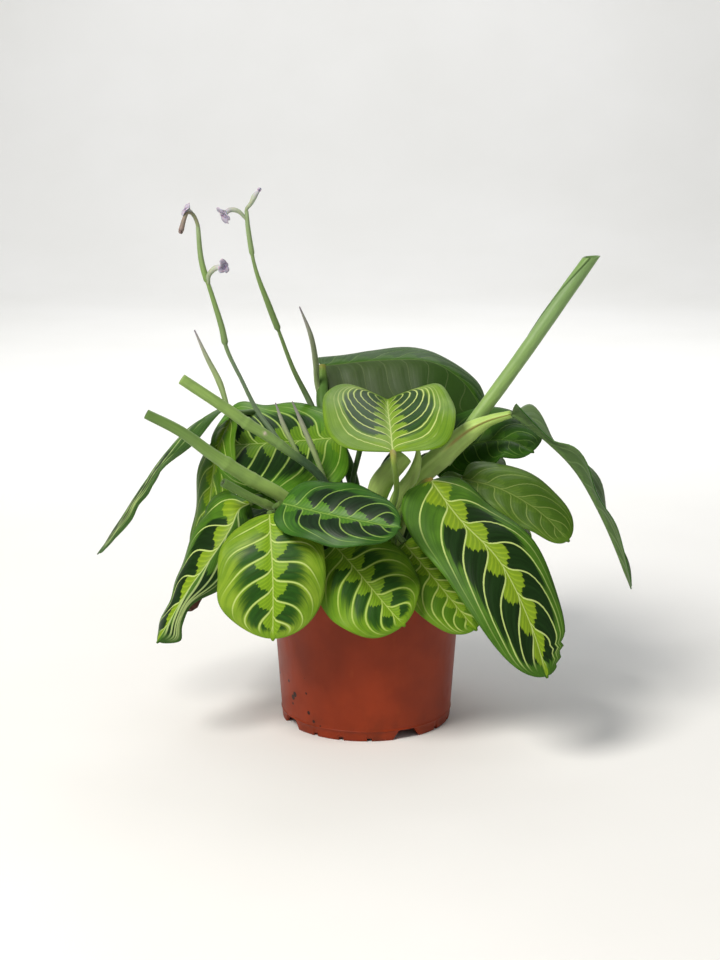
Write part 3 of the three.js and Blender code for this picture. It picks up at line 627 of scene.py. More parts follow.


# %% [markdown]
# ### One finish, thirteen kinds of leaf
#
# Young leaves are lime with soft blotches, full-grown ones deep green with sharp ones, and the
# ones in the back have gone plain. On the near half of the top leaf, grey greens are a painted
# sheen that stands in for the reflection of the light. All share one recipe and differ in their
# numbers: half the width of a vein in millimetres, how far the band reaches, how strong the dark
# is. The greens are three of the margin, two of the blotches, two of the band, and that of the
# veins, so that none is flat.

# %% Every kind of leaf
LOOK = dict(vein=0.78, halo=0.22, band=1.0, band_strength=1.0, strength=1.0, dark_from=0.36,
            soft=0.28, vein_strength=1.0, sheen=0.0, gloss=0.2, far="#3a5a20", far_share=0.0)
looks = {
    "deep": ("#42691b #507a20 #335616 #122807 #1a350f #8aa625 #76941f #b9cc78", {}),
    "bright": ("#6c901d #83a02c #588019 #1c3f0c #2a5414 #82a621 #71961b #b6ca70",
        dict(dark_from=0.28, soft=0.66, halo=0.4)),
    "heart": ("#668b1c #759827 #547b18 #1e3e0f #2a5016 #82a424 #75971f #c3d27c",
        dict(dark_from=0.28, soft=0.5, halo=0.3, band=0.8)),
    "fresh": ("#5f891a #73971f #4e7a17 #1e400d #2b5214 #7ba020 #6a8f1b #adc45f",
        dict(dark_from=0.3, soft=0.62, halo=0.42)),
    "meadow": ("#557f1c #638b21 #477118 #2c5614 #38621a #7a9a22 #6a8c1e #a9bf62",
        dict(dark_from=0.68, strength=0.6, halo=0.4, vein=0.62)),
    "grown": ("#4b7b1b #5c8b22 #3c6a16 #15300b #20420f #6d9421 #5d861c #a6c062",
        dict(dark_from=0.42, soft=0.4, halo=0.35)),
    "streaky": ("#35561f #3f6326 #294818 #152a10 #1f3a18 #4c7424 #426a20 #a9bf78",
        dict(dark_from=0.4, vein=0.9)),
    "shaded": ("#2e5a15 #386818 #244c10 #0e240b #173213 #53831e #467519 #8bac50",
        dict(band=0.85, gloss=0.32, vein_strength=0.85, vein=0.6)),
    # Painted shade: these lime greens are darkened for the leaf that hangs in the shadow of the front
    # right one.
    "lime": ("#5c841b #6d9422 #4c7417 #3a6614 #4a7419 #86aa28 #759820 #b4c868", dict(strength=0.5)),
    "plain": ("#2c5211 #355d15 #24460d #22420d #284c12 #4c741a #416a17 #7c9c48",
        dict(strength=0.6, band_strength=0.4, vein_strength=0.35, vein=0.55, gloss=0.12)),
    "olive": ("#4a6a1c #577623 #3e5e18 #36541a #405c1e #64802c #567228 #93a458",
        dict(strength=0.5, band_strength=0.4, vein_strength=0.5, vein=0.5)),
    # Painted sheen: grey greens that stand in for the reflection of the light on the near half of the
    # top leaf; towards the tip they give way to dark green.
    "silver": ("#45562f #4e6040 #3a4c28 #354a22 #41542f #4b6033 #455a2e #6c7c4c",
        dict(strength=0.7, band_strength=0.3, vein_strength=0.3, vein=0.5, sheen=0.08,
             far="#2b4814", far_share=0.9)),
    "underside": ("#566f42 #617a4a #4c663a #4a6438 #526c40 #68844c #607c48 #7c9660",
        dict(strength=0.6, band_strength=0.5, vein_strength=0.5, vein=0.8, sheen=0.1)),
}
skins = {name: leaf_finish("living leaf, " + name, greens, {**LOOK, **look})
         for name, (greens, look) in looks.items()}
print("leaf finishes:", ", ".join(skins))


# %% [markdown]
# ### Make the blades
#
# Each blade is a grid of rows along the rib and columns across it. The rows are closer together
# at both ends, where the outline turns fast. One more row past the tip draws out its point.

# %% Build every blade
ROWS = 60
HALF_COLUMNS = 14
TIP = 1.6  # mm that the point stands out
GROOVE = 1.3  # mm, half the width of the groove of the midrib
BLADE = 0.6  # mm thick; the solids are 1 mm so that they can be made

quilting = quilting_tree()


def sheet_quads(rows, columns):
    """The faces of a grid of points, row by row."""
    corners = np.arange(rows * columns).reshape(rows, columns)[:-1, :-1].reshape(-1, 1)
    return corners + [0, 1, columns + 1, columns]


def make_blade(name, leaf, number):
    line = Line(leaf["rib"])
    u = (1 - np.cos(np.pi * np.linspace(0, 1, ROWS + 1))) / 2
    u = np.append(u, 1 + TIP / line.length)
    v = np.linspace(-1, 1, 2 * HALF_COLUMNS + 1)
    points, width = blade_points(leaf, line, u, v, number)
    quads = sheet_quads(len(u), len(v))
    mesh = mesh_from("blade_" + name, points.reshape(-1, 3), quads.tolist())

    u, t = np.broadcast_arrays(u[:, None], np.abs(v))
    left, right = (vein_numbers(leaf, line, u, t, width, side, number) for side in (0, 1))
    right_half = np.tile(np.arange(2 * HALF_COLUMNS) >= HALF_COLUMNS, len(u) - 1)
    store(mesh, "FACE", right_half=right_half)
    pick = np.repeat(right_half, 4)[:, None]
    for label, one, other in zip(("veins", "place", "where"), left, right):
        one, other = (a.reshape(-1, 3)[quads.ravel()] for a in (one, other))
        store(mesh, "CORNER", **{label: np.where(pick, other, one)})
    veins = np.where((v > 0)[:, None], right[0], left[0])
    level = veins[..., 2] * smooth_step(0.02, 0.2, t) * (1 - smooth_step(0.85, 1, u))
    groove = np.exp(-((t * width / GROOVE) ** 2)) * (1 - smooth_step(0.9, 1, u))
    store(mesh, count=veins[..., 0].ravel(), level=level.ravel(), groove=groove.ravel())
    left, right = leaf["looks"]
    for look in (left, right, "underside", "underside"):
        mesh.materials.append(skins[look])

    piece = show("blade_" + name, mesh)
    use_tree(piece, quilting, quilt_height=0.55 * MM, rib_depth=0.5 * MM,
             left_finish=skins[left], right_finish=skins[right])
    shell = piece.modifiers.new("thickness", "SOLIDIFY")
    shell.thickness = BLADE * MM
    shell.offset = 0.0
    shell.material_offset = 2
    shell.material_offset_rim = 0
    return join_plant(work_in(piece), "leaf_" + name)


for number, (name, leaf) in enumerate(leaves.items()):
    made = make_blade(name, leaf, number)
print("blades:", len(leaves), "of", len(made.data.polygons), "faces each")


# %% [markdown]
# ## Stalks, shoots and spikes
#
# Everything else that grows here is round and follows a line, with a thickness that changes
# on the way. That is the plainest work there is for Geometry Nodes: the script lays down a chain of
# points with a thickness on each, and the tree turns the chain into a curve, sweeps a circle along
# it and closes the ends.

# %% The stem tree
def stem_tree():
    tree, node, dial = new_tree("round stem", sides="Int", finish="Material")
    ring = node("GeometryNodeCurvePrimitiveCircle", {"Resolution": dial["sides"], "Radius": 1.0})
    turn = node("DIVIDE", node("GeometryNodeInputIndex"), dial["sides"])
    ring = node("GeometryNodeStoreNamedAttribute", {
        "Geometry": ring, "Name": "around", "Value": node("PINGPONG", turn, 0.5)})
    shape = node("GeometryNodeCurveToMesh", {
        "Curve": node("GeometryNodeMeshToCurve", dial["Geometry"]), "Profile Curve": ring,
        "Scale": node("stored", "thickness"), "Fill Caps": True})
    shape = node("realize", node("GeometryNodeSetShadeSmooth", shape))
    node("NodeGroupOutput", node("paint", shape, dial["finish"]))
    return tree


stems = stem_tree()


# %% [markdown]
# ### The skin of a stem
#
# Young maranta stems are pale green with fine long fibres and a bloom of short down, which
# makes them look matt and slightly milky. The finish reads how far along the stem a point is,
# so that the foot, the middle and the upper end can each have their own green. On the cut shoots
# and the sheaths, the green where the leaves shade them is painted lighter, as painted light.

# %% The stem finish
def stem_finish(name, greens, rough=0.5, down=0.12, spots="#5f7a48", marks=()):
    """The greens are {place along the stem: colour}. A mark is a colour that lies where an
    attribute of the mesh says so: its name, colour and share."""
    material, node, fill_skin, place = new_finish(name)
    along, around, *shares = (node("ShaderNodeAttribute", attribute_name=label).outputs["Fac"]
                              for label in ("along", "around", *[mark[0] for mark in marks]))
    # Fibres: many across the stem and very long along it.
    drawn_out = node("join xyz", node("MULTIPLY", around, 12.0), node("MULTIPLY", along, 5.0))
    fibre = node("noise", drawn_out, 1.5, 2.0)
    cloud = node("noise", place, 90.0, 3.0)
    spotted = node("range", cloud, 0.5, 0.8, 0, 0.45)
    tone = node("blend", spotted, node("ramp", along, stops=greens), spots)
    tone = node("scale", tone, node("range", fibre, 0.3, 0.7, 0.9, 1.07))
    for where, (_, colour, share) in zip(shares, marks):
        tone = node("blend", node("MULTIPLY", where, share), tone, colour)
    fill_skin({
        "Base Color": tone, "Normal": node("bump", fibre, 0.3, 0.25 * MM),
        "Roughness": node("range", cloud, 0, 1, rough - 0.08, rough + 0.12),
        "IOR": 1.4, "Specular IOR Level": 0.4, "Subsurface Weight": 0.08,
        "Subsurface Radius": (0.6, 1.0, 0.3), "Subsurface Scale": 1.5 * MM,
        "Sheen Weight": down, "Sheen Roughness": 0.5, "Sheen Tint": "#dfe8d2"})
    return material


stalk_skin = stem_finish("petiole skin, dark and smooth", {
    0: "#3f5a30", 0.5: "#3d5a30", 0.86: "#4f7034", 1: "#5f7a36"}, spots="#35502a")
joint_skin = stem_finish("petiole skin with an ochre joint", {
    0: "#4c6a2c", 0.6: "#6a8c38", 0.88: "#7f9a40", 0.95: "#96903c", 1: "#a0903e"})
# Painted light: the bright green a quarter of the way up lies where the leaves shade the shoot.
shoot_skin = stem_finish("cut shoot skin, pale green, painted light low down", {
    0: "#6a8c46", 0.25: "#9ab85a", 0.5: "#8fad58", 0.75: "#76944a", 1: "#5e7e3c"},
    marks=[("cut", "#26301a", 0.9)])
dark_shoot_skin = stem_finish("older shoot skin, dark below", {
    0: "#2f4a2c", 0.50: "#3a5636", 0.60: "#7c9a54", 0.8: "#86a454", 1: "#8aa85a"},
    marks=[("cut", "#93a070", 0.9), ("scar", "#cdbfae", 0.9)])
flower_stalk_skin = stem_finish("flower stalk skin with bracts", {
    0: "#586e4c", 0.40: "#6c8064", 0.52: "#768e58", 0.8: "#7c9854", 1: "#94a87c"},
    spots="#647c48")
thick_stalk_skin = stem_finish("thick petiole skin, green to the joint", {
    0: "#3f5a30", 0.6: "#4a6e2c", 0.9: "#567e30", 0.965: "#6c8c36", 1: "#8c8a3c"})
spike_skin = stem_finish("bract skin with a mauve tip", {
    0: "#6f8a4a", 0.45: "#96a872", 0.8: "#9c9e8c", 1: "#887e88"}, spots="#7e9062")


# %% [markdown]
# ### Leaf stalks
#
# Each stalk stands straight up from the soil, bends towards its blade and ends in a joint, the
# pulvinus. That short, thicker piece is what lets the leaves fold up at night. Every stalk and
# shoot is a list of stations from here on: x, y, z and the radius there, in millimetres.

# %% Stalks
GAP = 0.3  # mm between two pieces
FOOT = 95 + GAP  # where stalks start, just over the soil
RISE = 12  # mm that a leaf stalk goes straight up
STALK = 1.9  # mm, radius of most leaf stalks


def sampled(stations, steps):
    """The line through stations, shares of its length, and the radius at each of them."""
    stations = np.array(stations, float)
    line = Line(stations[:, :3])
    u = np.linspace(0, 1, steps + 1)
    return line, u, np.interp(line.station(u), np.arange(len(stations)), stations[:, 3])


def make_stem(name, stations, steps, finish, node, sides=12, bracts=()):
    """A round stem. A bract is the station where it starts, its height and its reach in mm."""
    line, u, radius = sampled(stations, steps)
    for start, height, reach in bracts:
        mm = (u - np.interp(start / line.spans, line.ticks, line.lengths) / line.length) * line.length
        radius = radius + height * np.where(mm < 0, np.exp(-(mm / 0.8) ** 2),
                                            np.maximum(0, 1 - mm / reach))
    chain = mesh_from(name, line.at(u), [], [(i, i + 1) for i in range(steps)], smooth=False)
    store(chain, thickness=radius * MM, along=u)
    piece = show(name, chain)
    use_tree(piece, stems, sides=sides, finish=finish)
    return join_plant(work_in(piece), node)


def stalk_stations(leaf):
    x, y = leaf["foot"]
    line = Line(leaf["rib"])
    start, way = line.at(0)[0], line.way(0)[0]
    points = [(x, y, FOOT), (x, y, FOOT + RISE), *leaf["bend"],
              start - 10 * way + leaf["knee"], start - GAP * way]
    usual = [STALK + 0.3, STALK] + [STALK - 0.2] * len(leaf["bend"]) + [STALK, STALK + 0.1]
    return [(*point, radius) for point, radius in zip(points, leaf["radii"] or usual)]


special = {"top_heart": joint_skin, "front_right": joint_skin, "top_back": thick_stalk_skin}
for name, leaf in leaves.items():
    if "foot" in leaf:
        make_stem("petiole_" + name, stalk_stations(leaf), 64, special.get(name, stalk_skin),
                  "stalk_" + name, 16)
print("stalks:", sum("foot" in leaf for leaf in leaves.values()))


# %% [markdown]
# ### Flower stalks and spikes
#
# The thin flower stalks are grey green, with small joints where a bract clasps them. The spikes
# beside them are bracts that are still closed, and their points have gone mauve. Several of them
# grow out of the side of a thicker shoot, so their line starts inside it.

# %% Flower stalks and spikes
def side_shoot(parent, place, base, *rest):
    """Stations of a shoot that grows out of its parent at a place counted in stations."""
    line = Line(np.array(parent, float)[:, :3])
    return [(*line.raw(place / line.spans)[0], base), *rest]


def top_shoot(parent, base, *rest):
    """The same for a shoot that goes on where its parent ends."""
    before, end = np.array(parent, float)[-2:, :3]
    up = unit(end - before)
    return [(*(end - up), base), (*(end + up), base), *rest]


long_shoot = [
    (-16, -5, FOOT, 4), (-16, -5, FOOT + 6, 4), (-22, -9, 114, 4), (-51, -28, 150, 4.4),
    (-72, -34, 164, 4.5), (-93, -38, 179, 3.9), (-113, -42, 195, 3.4), (-133, -44, 206, 3.0)]
high_shoot = [
    (-7, -4, FOOT, 3), (-7, -4, FOOT + 6, 3), (-12, -11, 124, 2.8), (-29, -24, 163, 2.6),
    (-48, -29, 180, 2.8), (-61, -31, 190, 3.2), (-73, -33, 198, 3.6), (-82, -34, 205, 3.5),
    (-112, -36, 226, 3.3)]
left_flower_stalk = side_shoot(
    high_shoot, 4.2, 1.4, (-57, -25, 190, 1.5), (-68, -18, 204, 1.4), (-77, -16, 222, 1.2),
    (-86, -14, 241, 1.3), (-89, -12, 254, 1.3), (-95, -10, 274, 1.3), (-101, -8, 294, 1.3),
    (-103, -6, 315, 1.3))
tall_flower_stalk = [
    (-9, 18, FOOT, 2), (-9, 18, FOOT + 6, 2), (-11, 22, 120, 2), (-24, 42, 168, 2),
    (-37, 46, 197, 2), (-47, 40, 219, 1.5), (-56, 34, 245, 1.1), (-62, 30, 262, 1.3),
    (-70, 26, 286, 1.1), (-74, 24, 310, 1.2), (-75, 24, 322, 1.1)]
spikes = {
    "left": side_shoot(high_shoot, 7.1, 1.3, (-90, -25, 222, 2), (-98, -23, 238, 1.4),
                       (-105, -22, 254, 0.4)),
    "right": side_shoot(stalk_stations(leaves["top_back"]), 2.6, 1.2, (-32, 66, 203, 1.8),
                        (-33, 60, 220, 2), (-36, 50, 240, 1.6), (-43, 46, 259, 0.4)),
    "inner_left": side_shoot(high_shoot, 3.6, 1.2, (-51, -24, 195, 1.5), (-56, -23, 209, 0.4)),
    "inner_right": side_shoot(high_shoot, 2.7, 1.2, (-34, -16, 180, 1.8), (-40, -14, 194, 1.5),
                              (-46, -13, 208, 0.4))}

make_stem("flower_stem_left", left_flower_stalk, 170, flower_stalk_skin,
          "flower_stalk_left", bracts=((4.3, 0.8, 38), (6.45, 0.7, 34)))
make_stem("flower_stem_tall", tall_flower_stalk, 220, flower_stalk_skin,
          "flower_stalk_tall", bracts=((6.1, 1.0, 46), (8.4, 0.6, 34)))
for name, stations in spikes.items():
    make_stem("bract_spike_" + name, stations, 30, spike_skin, "spike_" + name)
print("spikes:", len(spikes))


# %% [markdown]
# ## Thick shoots and what wraps them
#
# Three shoots were cut back. They have rings where a leaf once sat, and a dry, sunken cut
# with a dark pith. The sheaths and the rolled leaf are sheets wound round themselves, so their
# section is not a circle but a turn of a spiral, with a free edge standing a little proud. All are
# rows of rings along a line, which makes it simple to step the radius, slant the end or sink
# the cut.

# %% Rings along a line
def ring_frames(line, u):
    """The line's way and two directions across it at each u, turned as little as possible."""
    way = line.way(u)
    first = unit(np.cross(way[0], (0.3, 1.0, 0.2)))
    frames = []
    for w in way:
        first = unit(first - w * (first @ w))
        frames.append((first, np.cross(w, first)))
    return way, *np.array(frames).transpose(1, 0, 2)


def tube_faces(rings, sides):
    """Faces round a row of rings. The last two points are the middles of its ends."""
    last, low = (rings - 1) * sides, rings * sides
    pairs = [(j, (j + 1) % sides) for j in range(sides)]
    faces = [(r + a, r + b, r + sides + b, r + sides + a)
             for r in range(0, last, sides) for a, b in pairs]
    return (faces + [(low, b, a) for a, b in pairs]
            + [(low + 1, last + a, last + b) for a, b in pairs])


# %% [markdown]
# A wound piece is worked out for all its rings at once. Beside the points it stores what its
# finish needs to know: how far along and around a point is, whether it lies on the free edge,
# in the cut or on the scar.

# %% Wound pieces
TO_FRONT = np.array((0, -0.9, 0.4))


def wound(name, stations, steps, finish, node, lip=0.0, lip_angle=0.0, twist=0.0,
          dry_from=0.0, collars=(), slant=0.0, slant_angle=0.0, cut=None, scar=None, sides=28):
    """A shoot or a wound sheet. A lip is the free edge, as a share of the radius, and from
    dry_from on that edge has dried; the collars are (place, height in mm); the cut is (wall
    share, depth in mm); a scar is at a share of the length. Angles are in degrees."""
    line, u, radius = sampled(stations, steps)
    for place, height in collars:
        mm = (u - place) * line.length
        radius = radius + height * np.exp(-(mm / np.where(mm < 0, 3.5, 0.7)) ** 2)
    near = line.at(scar or 0)[0] + np.interp(scar or 0, u, radius) * TO_FRONT
    turn = np.arange(sides) / sides
    if lip:  # two points share the angle of the free edge
        turn = np.append(turn, 0.999)
    rows = [(i, 1.0, 0.0) for i in range(steps + 1)]
    if cut:
        wall, depth = cut
        rows += [(steps, 0.96, 0.25), (steps, 1 - wall, 0.1), (steps, (1 - wall) * 0.9, -depth)]
    i, share, push = (np.array(column)[:, None] for column in zip(*rows))
    u, radius, origin, way, first, second = (
        a[i] for a in (u, radius, line.at(u), *ring_frames(line, u)))
    angle = 2 * np.pi * turn + np.radians(lip_angle + twist * u)
    lean = slant * np.cos(angle - math.radians(slant_angle)) * smooth_step(0.8, 1, u)
    points = origin
    for amount, towards in (
            (radius * share * (1 + lip * turn),
             np.cos(angle)[..., None] * first + np.sin(angle)[..., None] * second),
            (push + radius * share * lean, way),
            (0.05 * np.sin(37 * u + 5 * angle), first)):
        points = points + amount[..., None] * towards
    points = np.vstack([points.reshape(-1, 3), points[0].mean(0), points[-1].mean(0)])
    healed = np.zeros(len(points))
    if scar:  # on the side that looks to the front
        healed = 1 - smooth_step(0.6, 1.7, np.linalg.norm(points - near, axis=1))
        points = points + 0.5 * healed[:, None] * TO_FRONT
    mesh = mesh_from(name, points, tube_faces(len(rows), len(turn)))

    dry = smooth_step(dry_from - 0.05, dry_from + 0.05, u) if lip else 0
    pith = np.where(share == 1, 0, np.where(push < 0, 1, 0.5))
    for label, values, at_ends in (
            ("along", u, [0, 1]), ("around", np.minimum(turn, 1 - turn), [0, 0]),
            ("wrap", np.maximum(0, 1 - turn / 0.35), [0, 0]), ("cut", pith, [0, pith[-1, 0]]),
            ("edge", dry * ((turn > 0.97) | (turn < 0.005)), [0, 0])):
        store(mesh, **{label: np.append(np.broadcast_to(values, angle.shape), at_ends)})
    store(mesh, scar=healed)
    mesh.materials.append(finish)
    return join_plant(show(name, mesh), node)


# %% [markdown]
# ### Shoots, sheaths and the rolled leaf
#
# The cut shoots are solid and end in their cut. The sheaths are papery, and their greens are
# painted light: lighter than their own, where the leaves above shade them. The free edge of the
# right one has dried to ochre. The rolled leaf turns almost once on its way up, and only its
# pale underside shows.

# %% Make the wound pieces
# Painted light: these greens are lighter than the sheath's own, where the leaves above shade it.
sheath_skin = stem_finish("leaf sheath, papery green, painted light", {
    0: "#8cac4c", 0.35: "#c0de78", 0.7: "#c2e07c", 1: "#a8c864"}, rough=0.45,
    spots="#98b85a", marks=[("edge", "#a87c40", 0.7), ("cut", "#4c6a30", 0.8)])
roll_skin = stem_finish("rolled young leaf, pale underside", {
    0: "#8fae58", 0.25: "#90b060", 0.7: "#84a464", 1: "#7a9c54"}, rough=0.42,
    down=0.25, spots="#76965c",
    marks=[("wrap", "#78906a", 0.4), ("edge", "#4c6a34", 0.8), ("cut", "#3c5a30", 0.9)])

wound("shoot_long", long_shoot, 90, shoot_skin, "cut_shoot_long",
      collars=((0.56, 0.4), (0.67, 0.6)), cut=(0.35, 1.6))
wound("shoot_high", high_shoot, 150, dark_shoot_skin, "cut_shoot_high",
      collars=((0.60, 0.35), (0.74, 0.5)), cut=(0.3, 0.4), scar=0.66)
wound("shoot_small", [
    (-24, -14, FOOT, 2.6), (-24, -14, FOOT + 6, 2.6), (-33, -22, 120, 2.6), (-56, -34, 144, 2.6),
    (-71, -42, 154, 2.6), (-87, -50, 165, 2.7)],
      60, shoot_skin, "cut_shoot_small", collars=((0.7, 0.4),), cut=(0.4, 0.8))

hanging = Line(leaves["right_hanging"]["rib"])
wound("sheath_of_right_shoot", [
    (15, 2, FOOT, 4.2), (15, 2, FOOT + 6, 4.4), (19, 1, 122, 5.2), (33, 0, 156, 6.6),
    (47, 3, 169, 7), (65, 4, 185, 6), (77, 0, 193, 3.4),
    (*(hanging.at(0)[0] - 2 * GAP * hanging.way(0)[0]), 2.2)],
      90, sheath_skin, "sheath_right", lip=0.14, lip_angle=75, twist=15, dry_from=0.66)
wound("sheath_of_middle_shoot", [
    (4, 3, FOOT, 4), (4, 3, FOOT + 6, 4.4), (4, 1, 126, 5.6), (9, -4, 153, 6.8),
    (23, -12, 173, 5.6)], 60, sheath_skin, "sheath_middle",
      lip=0.10, lip_angle=200, slant=0.8, slant_angle=90, cut=(0.2, 3.0))
wound("rolled_young_leaf", [
    (50, 4, 165, 3.2), (59, 8, 178, 4.0), (71, 12, 194, 4.2), (86, 16, 214, 4.3),
    (104, 20, 239, 4.4), (123, 24, 266, 4.4), (142, 27, 293, 4.1)],
      90, roll_skin, "rolled_leaf",
      lip=0.14, lip_angle=164, twist=280, slant=0.9, slant_angle=200, cut=(0.2, 4.0))
make_stem("young_tip", [
    (10, -6, FOOT, 2.8), (10, -6, FOOT + 6, 2.8), (12, -8, 124, 3.4), (21, -12, 149, 4.4),
    (29, -13, 161, 4.2), (32, -14, 172, 2.4), (32, -14, 181, 0.5)],
          48, sheath_skin, "young_leaf_tip", sides=16)
print("thick shoots, sheaths and the rolled leaf are wound")


# %% [markdown]
# ## Flowers
#
# Maranta flowers are tiny: a green calyx, and a few pale violet petals with a purple mark. Each
# petal is a small cupped sheet, made from a few rows and given a thickness. The petals spread
# from the end of the calyx, and the drooping flower is already fading to brown.

# %% Petals
def petal_finish(name, foot, throat, mark, petal):
    """Green tube, then the violet mark in its throat, then the petals."""
    material, node, fill_skin, place = new_finish(name)
    spots = node("noise", place, 450.0, 2.0)
    along = node("ShaderNodeAttribute", attribute_name="along").outputs["Fac"]
    shaken = node("MULTIPLY_ADD", node("SUBTRACT", spots, 0.5), 0.3, along)
    fill_skin({
        "Base Color": node("ramp", shaken, stops={
            0: foot, 0.34: throat, 0.56: petal, 0.62: mark, 0.70: petal, 1: petal}),
        "Normal": node("bump", spots, 0.3, 0.2 * MM), "Roughness": 0.6,
        "Specular IOR Level": 0.3, "Subsurface Weight": 0.15, "Subsurface Scale": 1.0 * MM})
    return material


CALYX_RINGS, CALYX_SIDES = 15, 10
PETAL_ROWS, PETAL_COLUMNS = 7, 5
PETAL = 0.5  # mm thick


def two_sided(rows, columns):
    """Faces of a sheet, of a second one under it, and of the rim between them."""
    under = rows * columns
    quads = sheet_quads(rows, columns)
    grid = np.arange(under).reshape(rows, columns)
    border = np.concatenate([grid[0], grid[1:, -1], grid[-1, -2::-1], grid[-2:0:-1, 0]])
    after = np.roll(border, -1)
    rim = np.stack([border, after, after + under, border + under], -1)
    return np.vstack([np.hstack([quads[:, ::-1], quads + under]).reshape(-1, 4), rim])


def make_flower(node, stations, finish, petals, size, spread, seed, which=""):
    """A calyx along the line with petals at its end. The spread is an angle from the line."""
    line, u, radius = sampled(stations, CALYX_RINGS - 1)
    way, first, second = ring_frames(line, u)
    angle = 2 * np.pi * np.arange(CALYX_SIDES)[:, None] / CALYX_SIDES
    rings = line.at(u)[:, None] + radius[:, None, None] * (
        np.cos(angle) * first[:, None] + np.sin(angle) * second[:, None])
    points = [rings.reshape(-1, 3), line.at(0), line.at(1)]
    faces = tube_faces(CALYX_RINGS, CALYX_SIDES)
    random = np.random.default_rng(seed)
    axis = way[-1]
    s = np.linspace(0, 1, PETAL_ROWS)[:, None, None]
    w = np.linspace(-1, 1, PETAL_COLUMNS)[:, None]
    for k in range(petals):
        turn = 2 * np.pi * (k + 0.3 * random.random()) / petals
        outward = math.cos(turn) * first[-1] + math.sin(turn) * second[-1]
        opened = math.radians(spread * (0.8 + 0.4 * random.random()))
        length = size * (0.85 + 0.3 * random.random())
        bend = opened * (0.5 + 0.8 * s)
        half = 0.52 * length * np.sin(np.pi * (0.08 + 0.80 * s)) ** 0.5
        sheet = (line.at(1) - axis + length * s * (np.cos(bend) * axis + np.sin(bend) * outward)
                 + half * w * np.cross(axis, outward)
                 + 0.25 * half * w * w * (np.sin(bend) * axis - np.cos(bend) * outward))
        sheet = sheet.reshape(-1, 3)
        faces += (two_sided(PETAL_ROWS, PETAL_COLUMNS) + sum(map(len, points))).tolist()
        points += [sheet, sheet - PETAL * (math.sin(opened) * axis - math.cos(opened) * outward)]
    on_petal = np.repeat(0.35 + 0.65 * s, PETAL_COLUMNS)
    mesh = mesh_from(node + which + "_petals", np.vstack(points), faces)
    store(mesh, along=np.concatenate([np.repeat(0.55 * u, CALYX_SIDES), [0, 0.55],
                                      np.tile(on_petal, 2 * petals)]))
    mesh.materials.append(finish)
    return join_plant(show("bloom_" + node.removeprefix("flower_") + which, mesh), node)


# %% [markdown]
# ### Make the flowers
#
# The left stalk bears a drooping flower and one at its side, the tall stalk a bud and an open
# flower beside it. All start inside their stalk.

# %% Four flowers, in five pieces
fresh_petal = petal_finish("fresh petal, pale violet with a purple mark",
                           "#8a9c70", "#b4bca6", "#80608a", "#b9b2c4")
faded_petal = petal_finish("fading petal, brownish violet",
                           "#8a9a6c", "#908474", "#64504e", "#8a7b76")

make_flower("flower_drooping", top_shoot(
    left_flower_stalk, 1.2, (-106, -7, 323, 1.1), (-109, -8, 324, 1.2), (-111, -9, 320, 1.3),
    (-113, -10, 313, 1.7)), faded_petal, 3, 2.8, 0, 1)
make_flower("flower_drooping", [(-105, -6, 321, 1.0), (-107, -7, 324, 1.2), (-109, -8, 326, 1.0)],
            fresh_petal, 3, 5.0, 55, 5, "_top")
make_flower("flower_side", side_shoot(
    left_flower_stalk, 6.3, 1.1, (-96.5, -11, 286, 1.5), (-92.5, -13, 290.5, 1.8),
    (-87, -18, 292, 1.5)), fresh_petal, 4, 4.8, 54, 2)
make_flower("flower_bud", top_shoot(
    tall_flower_stalk, 1.1, (-72, 24, 327, 1.4), (-70, 24, 331, 1.9), (-67, 24, 335, 0.9)),
    fresh_petal, 3, 2.5, 0, 3)
bloom = make_flower("flower_top", side_shoot(
    tall_flower_stalk, 9.5, 0.9, (-80, 23, 322, 1.4), (-85, 22, 323, 1.7), (-88, 20, 321, 1.3)),
    fresh_petal, 4, 6.0, 50, 4)
print("flowers: the open one has", len(bloom.data.polygons), "faces")

# %% [markdown]
# ### The withered scrap
#
# The tip of an older leaf has died and crumpled. It is a lump drawn out along a short line,
# dented with waves that do not repeat, in the dark brown of dry leaf.

# %% Withered tip
withered_skin = stem_finish("dried leaf, brown and crumpled", {
    0: "#5a3826", 0.5: "#4a2a1e", 1: "#33190f"}, rough=0.75, down=0.1, spots="#6f4a30")
middle = Line(leaves["left_middle"]["rib"])


def past_tip(mm):
    return middle.at(1)[0] + mm * middle.way(1)[0]


x, y, z = past_tip(4)
scrap = wound("scrap", [(*past_tip(GAP), 1.5), (x, y, z, 3), (x - 4, y - 1, z - 6, 4.5),
                        (x - 9, y - 2, z - 11, 1.5)],
              26, withered_skin, "withered_tip", sides=24)
waves = np.random.default_rng(12).normal(size=(9, 3)) * 0.7
for vertex in scrap.data.vertices:
    p = np.array(vertex.co) / MM
    dents = np.sin(waves @ p + np.arange(9)).reshape(3, 3).sum(1)
    vertex.co = (p + 0.35 * dents * (p[2] < past_tip(1.5)[2])) * MM
print("withered scrap:", len(scrap.data.polygons), "faces")


# %% [markdown]
# ## The nursery pot
#
# The pot is injection moulded: a thin wall with a slight taper, a thicker rim band standing
# proud of it, a foot ring with four notches and small slits that let water out, and eight holes in
# the floor. A lathe makes all of it but the notches. Those only change how high the lowest edge
# of the foot ring is, so that height is a function of the angle. The holes are cut afterwards.

# %% A lathe, and the notches of the foot
FOOT_RADIUS, NECK, RIM, WALL = 54.2, 60.8, 62.8, 1.6
# Each cut in the foot ring: its angle, its width at the foot and at its top, its height.
CUTS = [(298 + 90 * k, 19, 11, 6.0) for k in range(4)]
CUTS += [(notch + 45 + d, 3.2, 3.0, 1.8) for notch, *_ in CUTS for d in (-19, 0, 19)]


def wall_radius(z):
    return FOOT_RADIUS + z * (NECK - FOOT_RADIUS) / 95


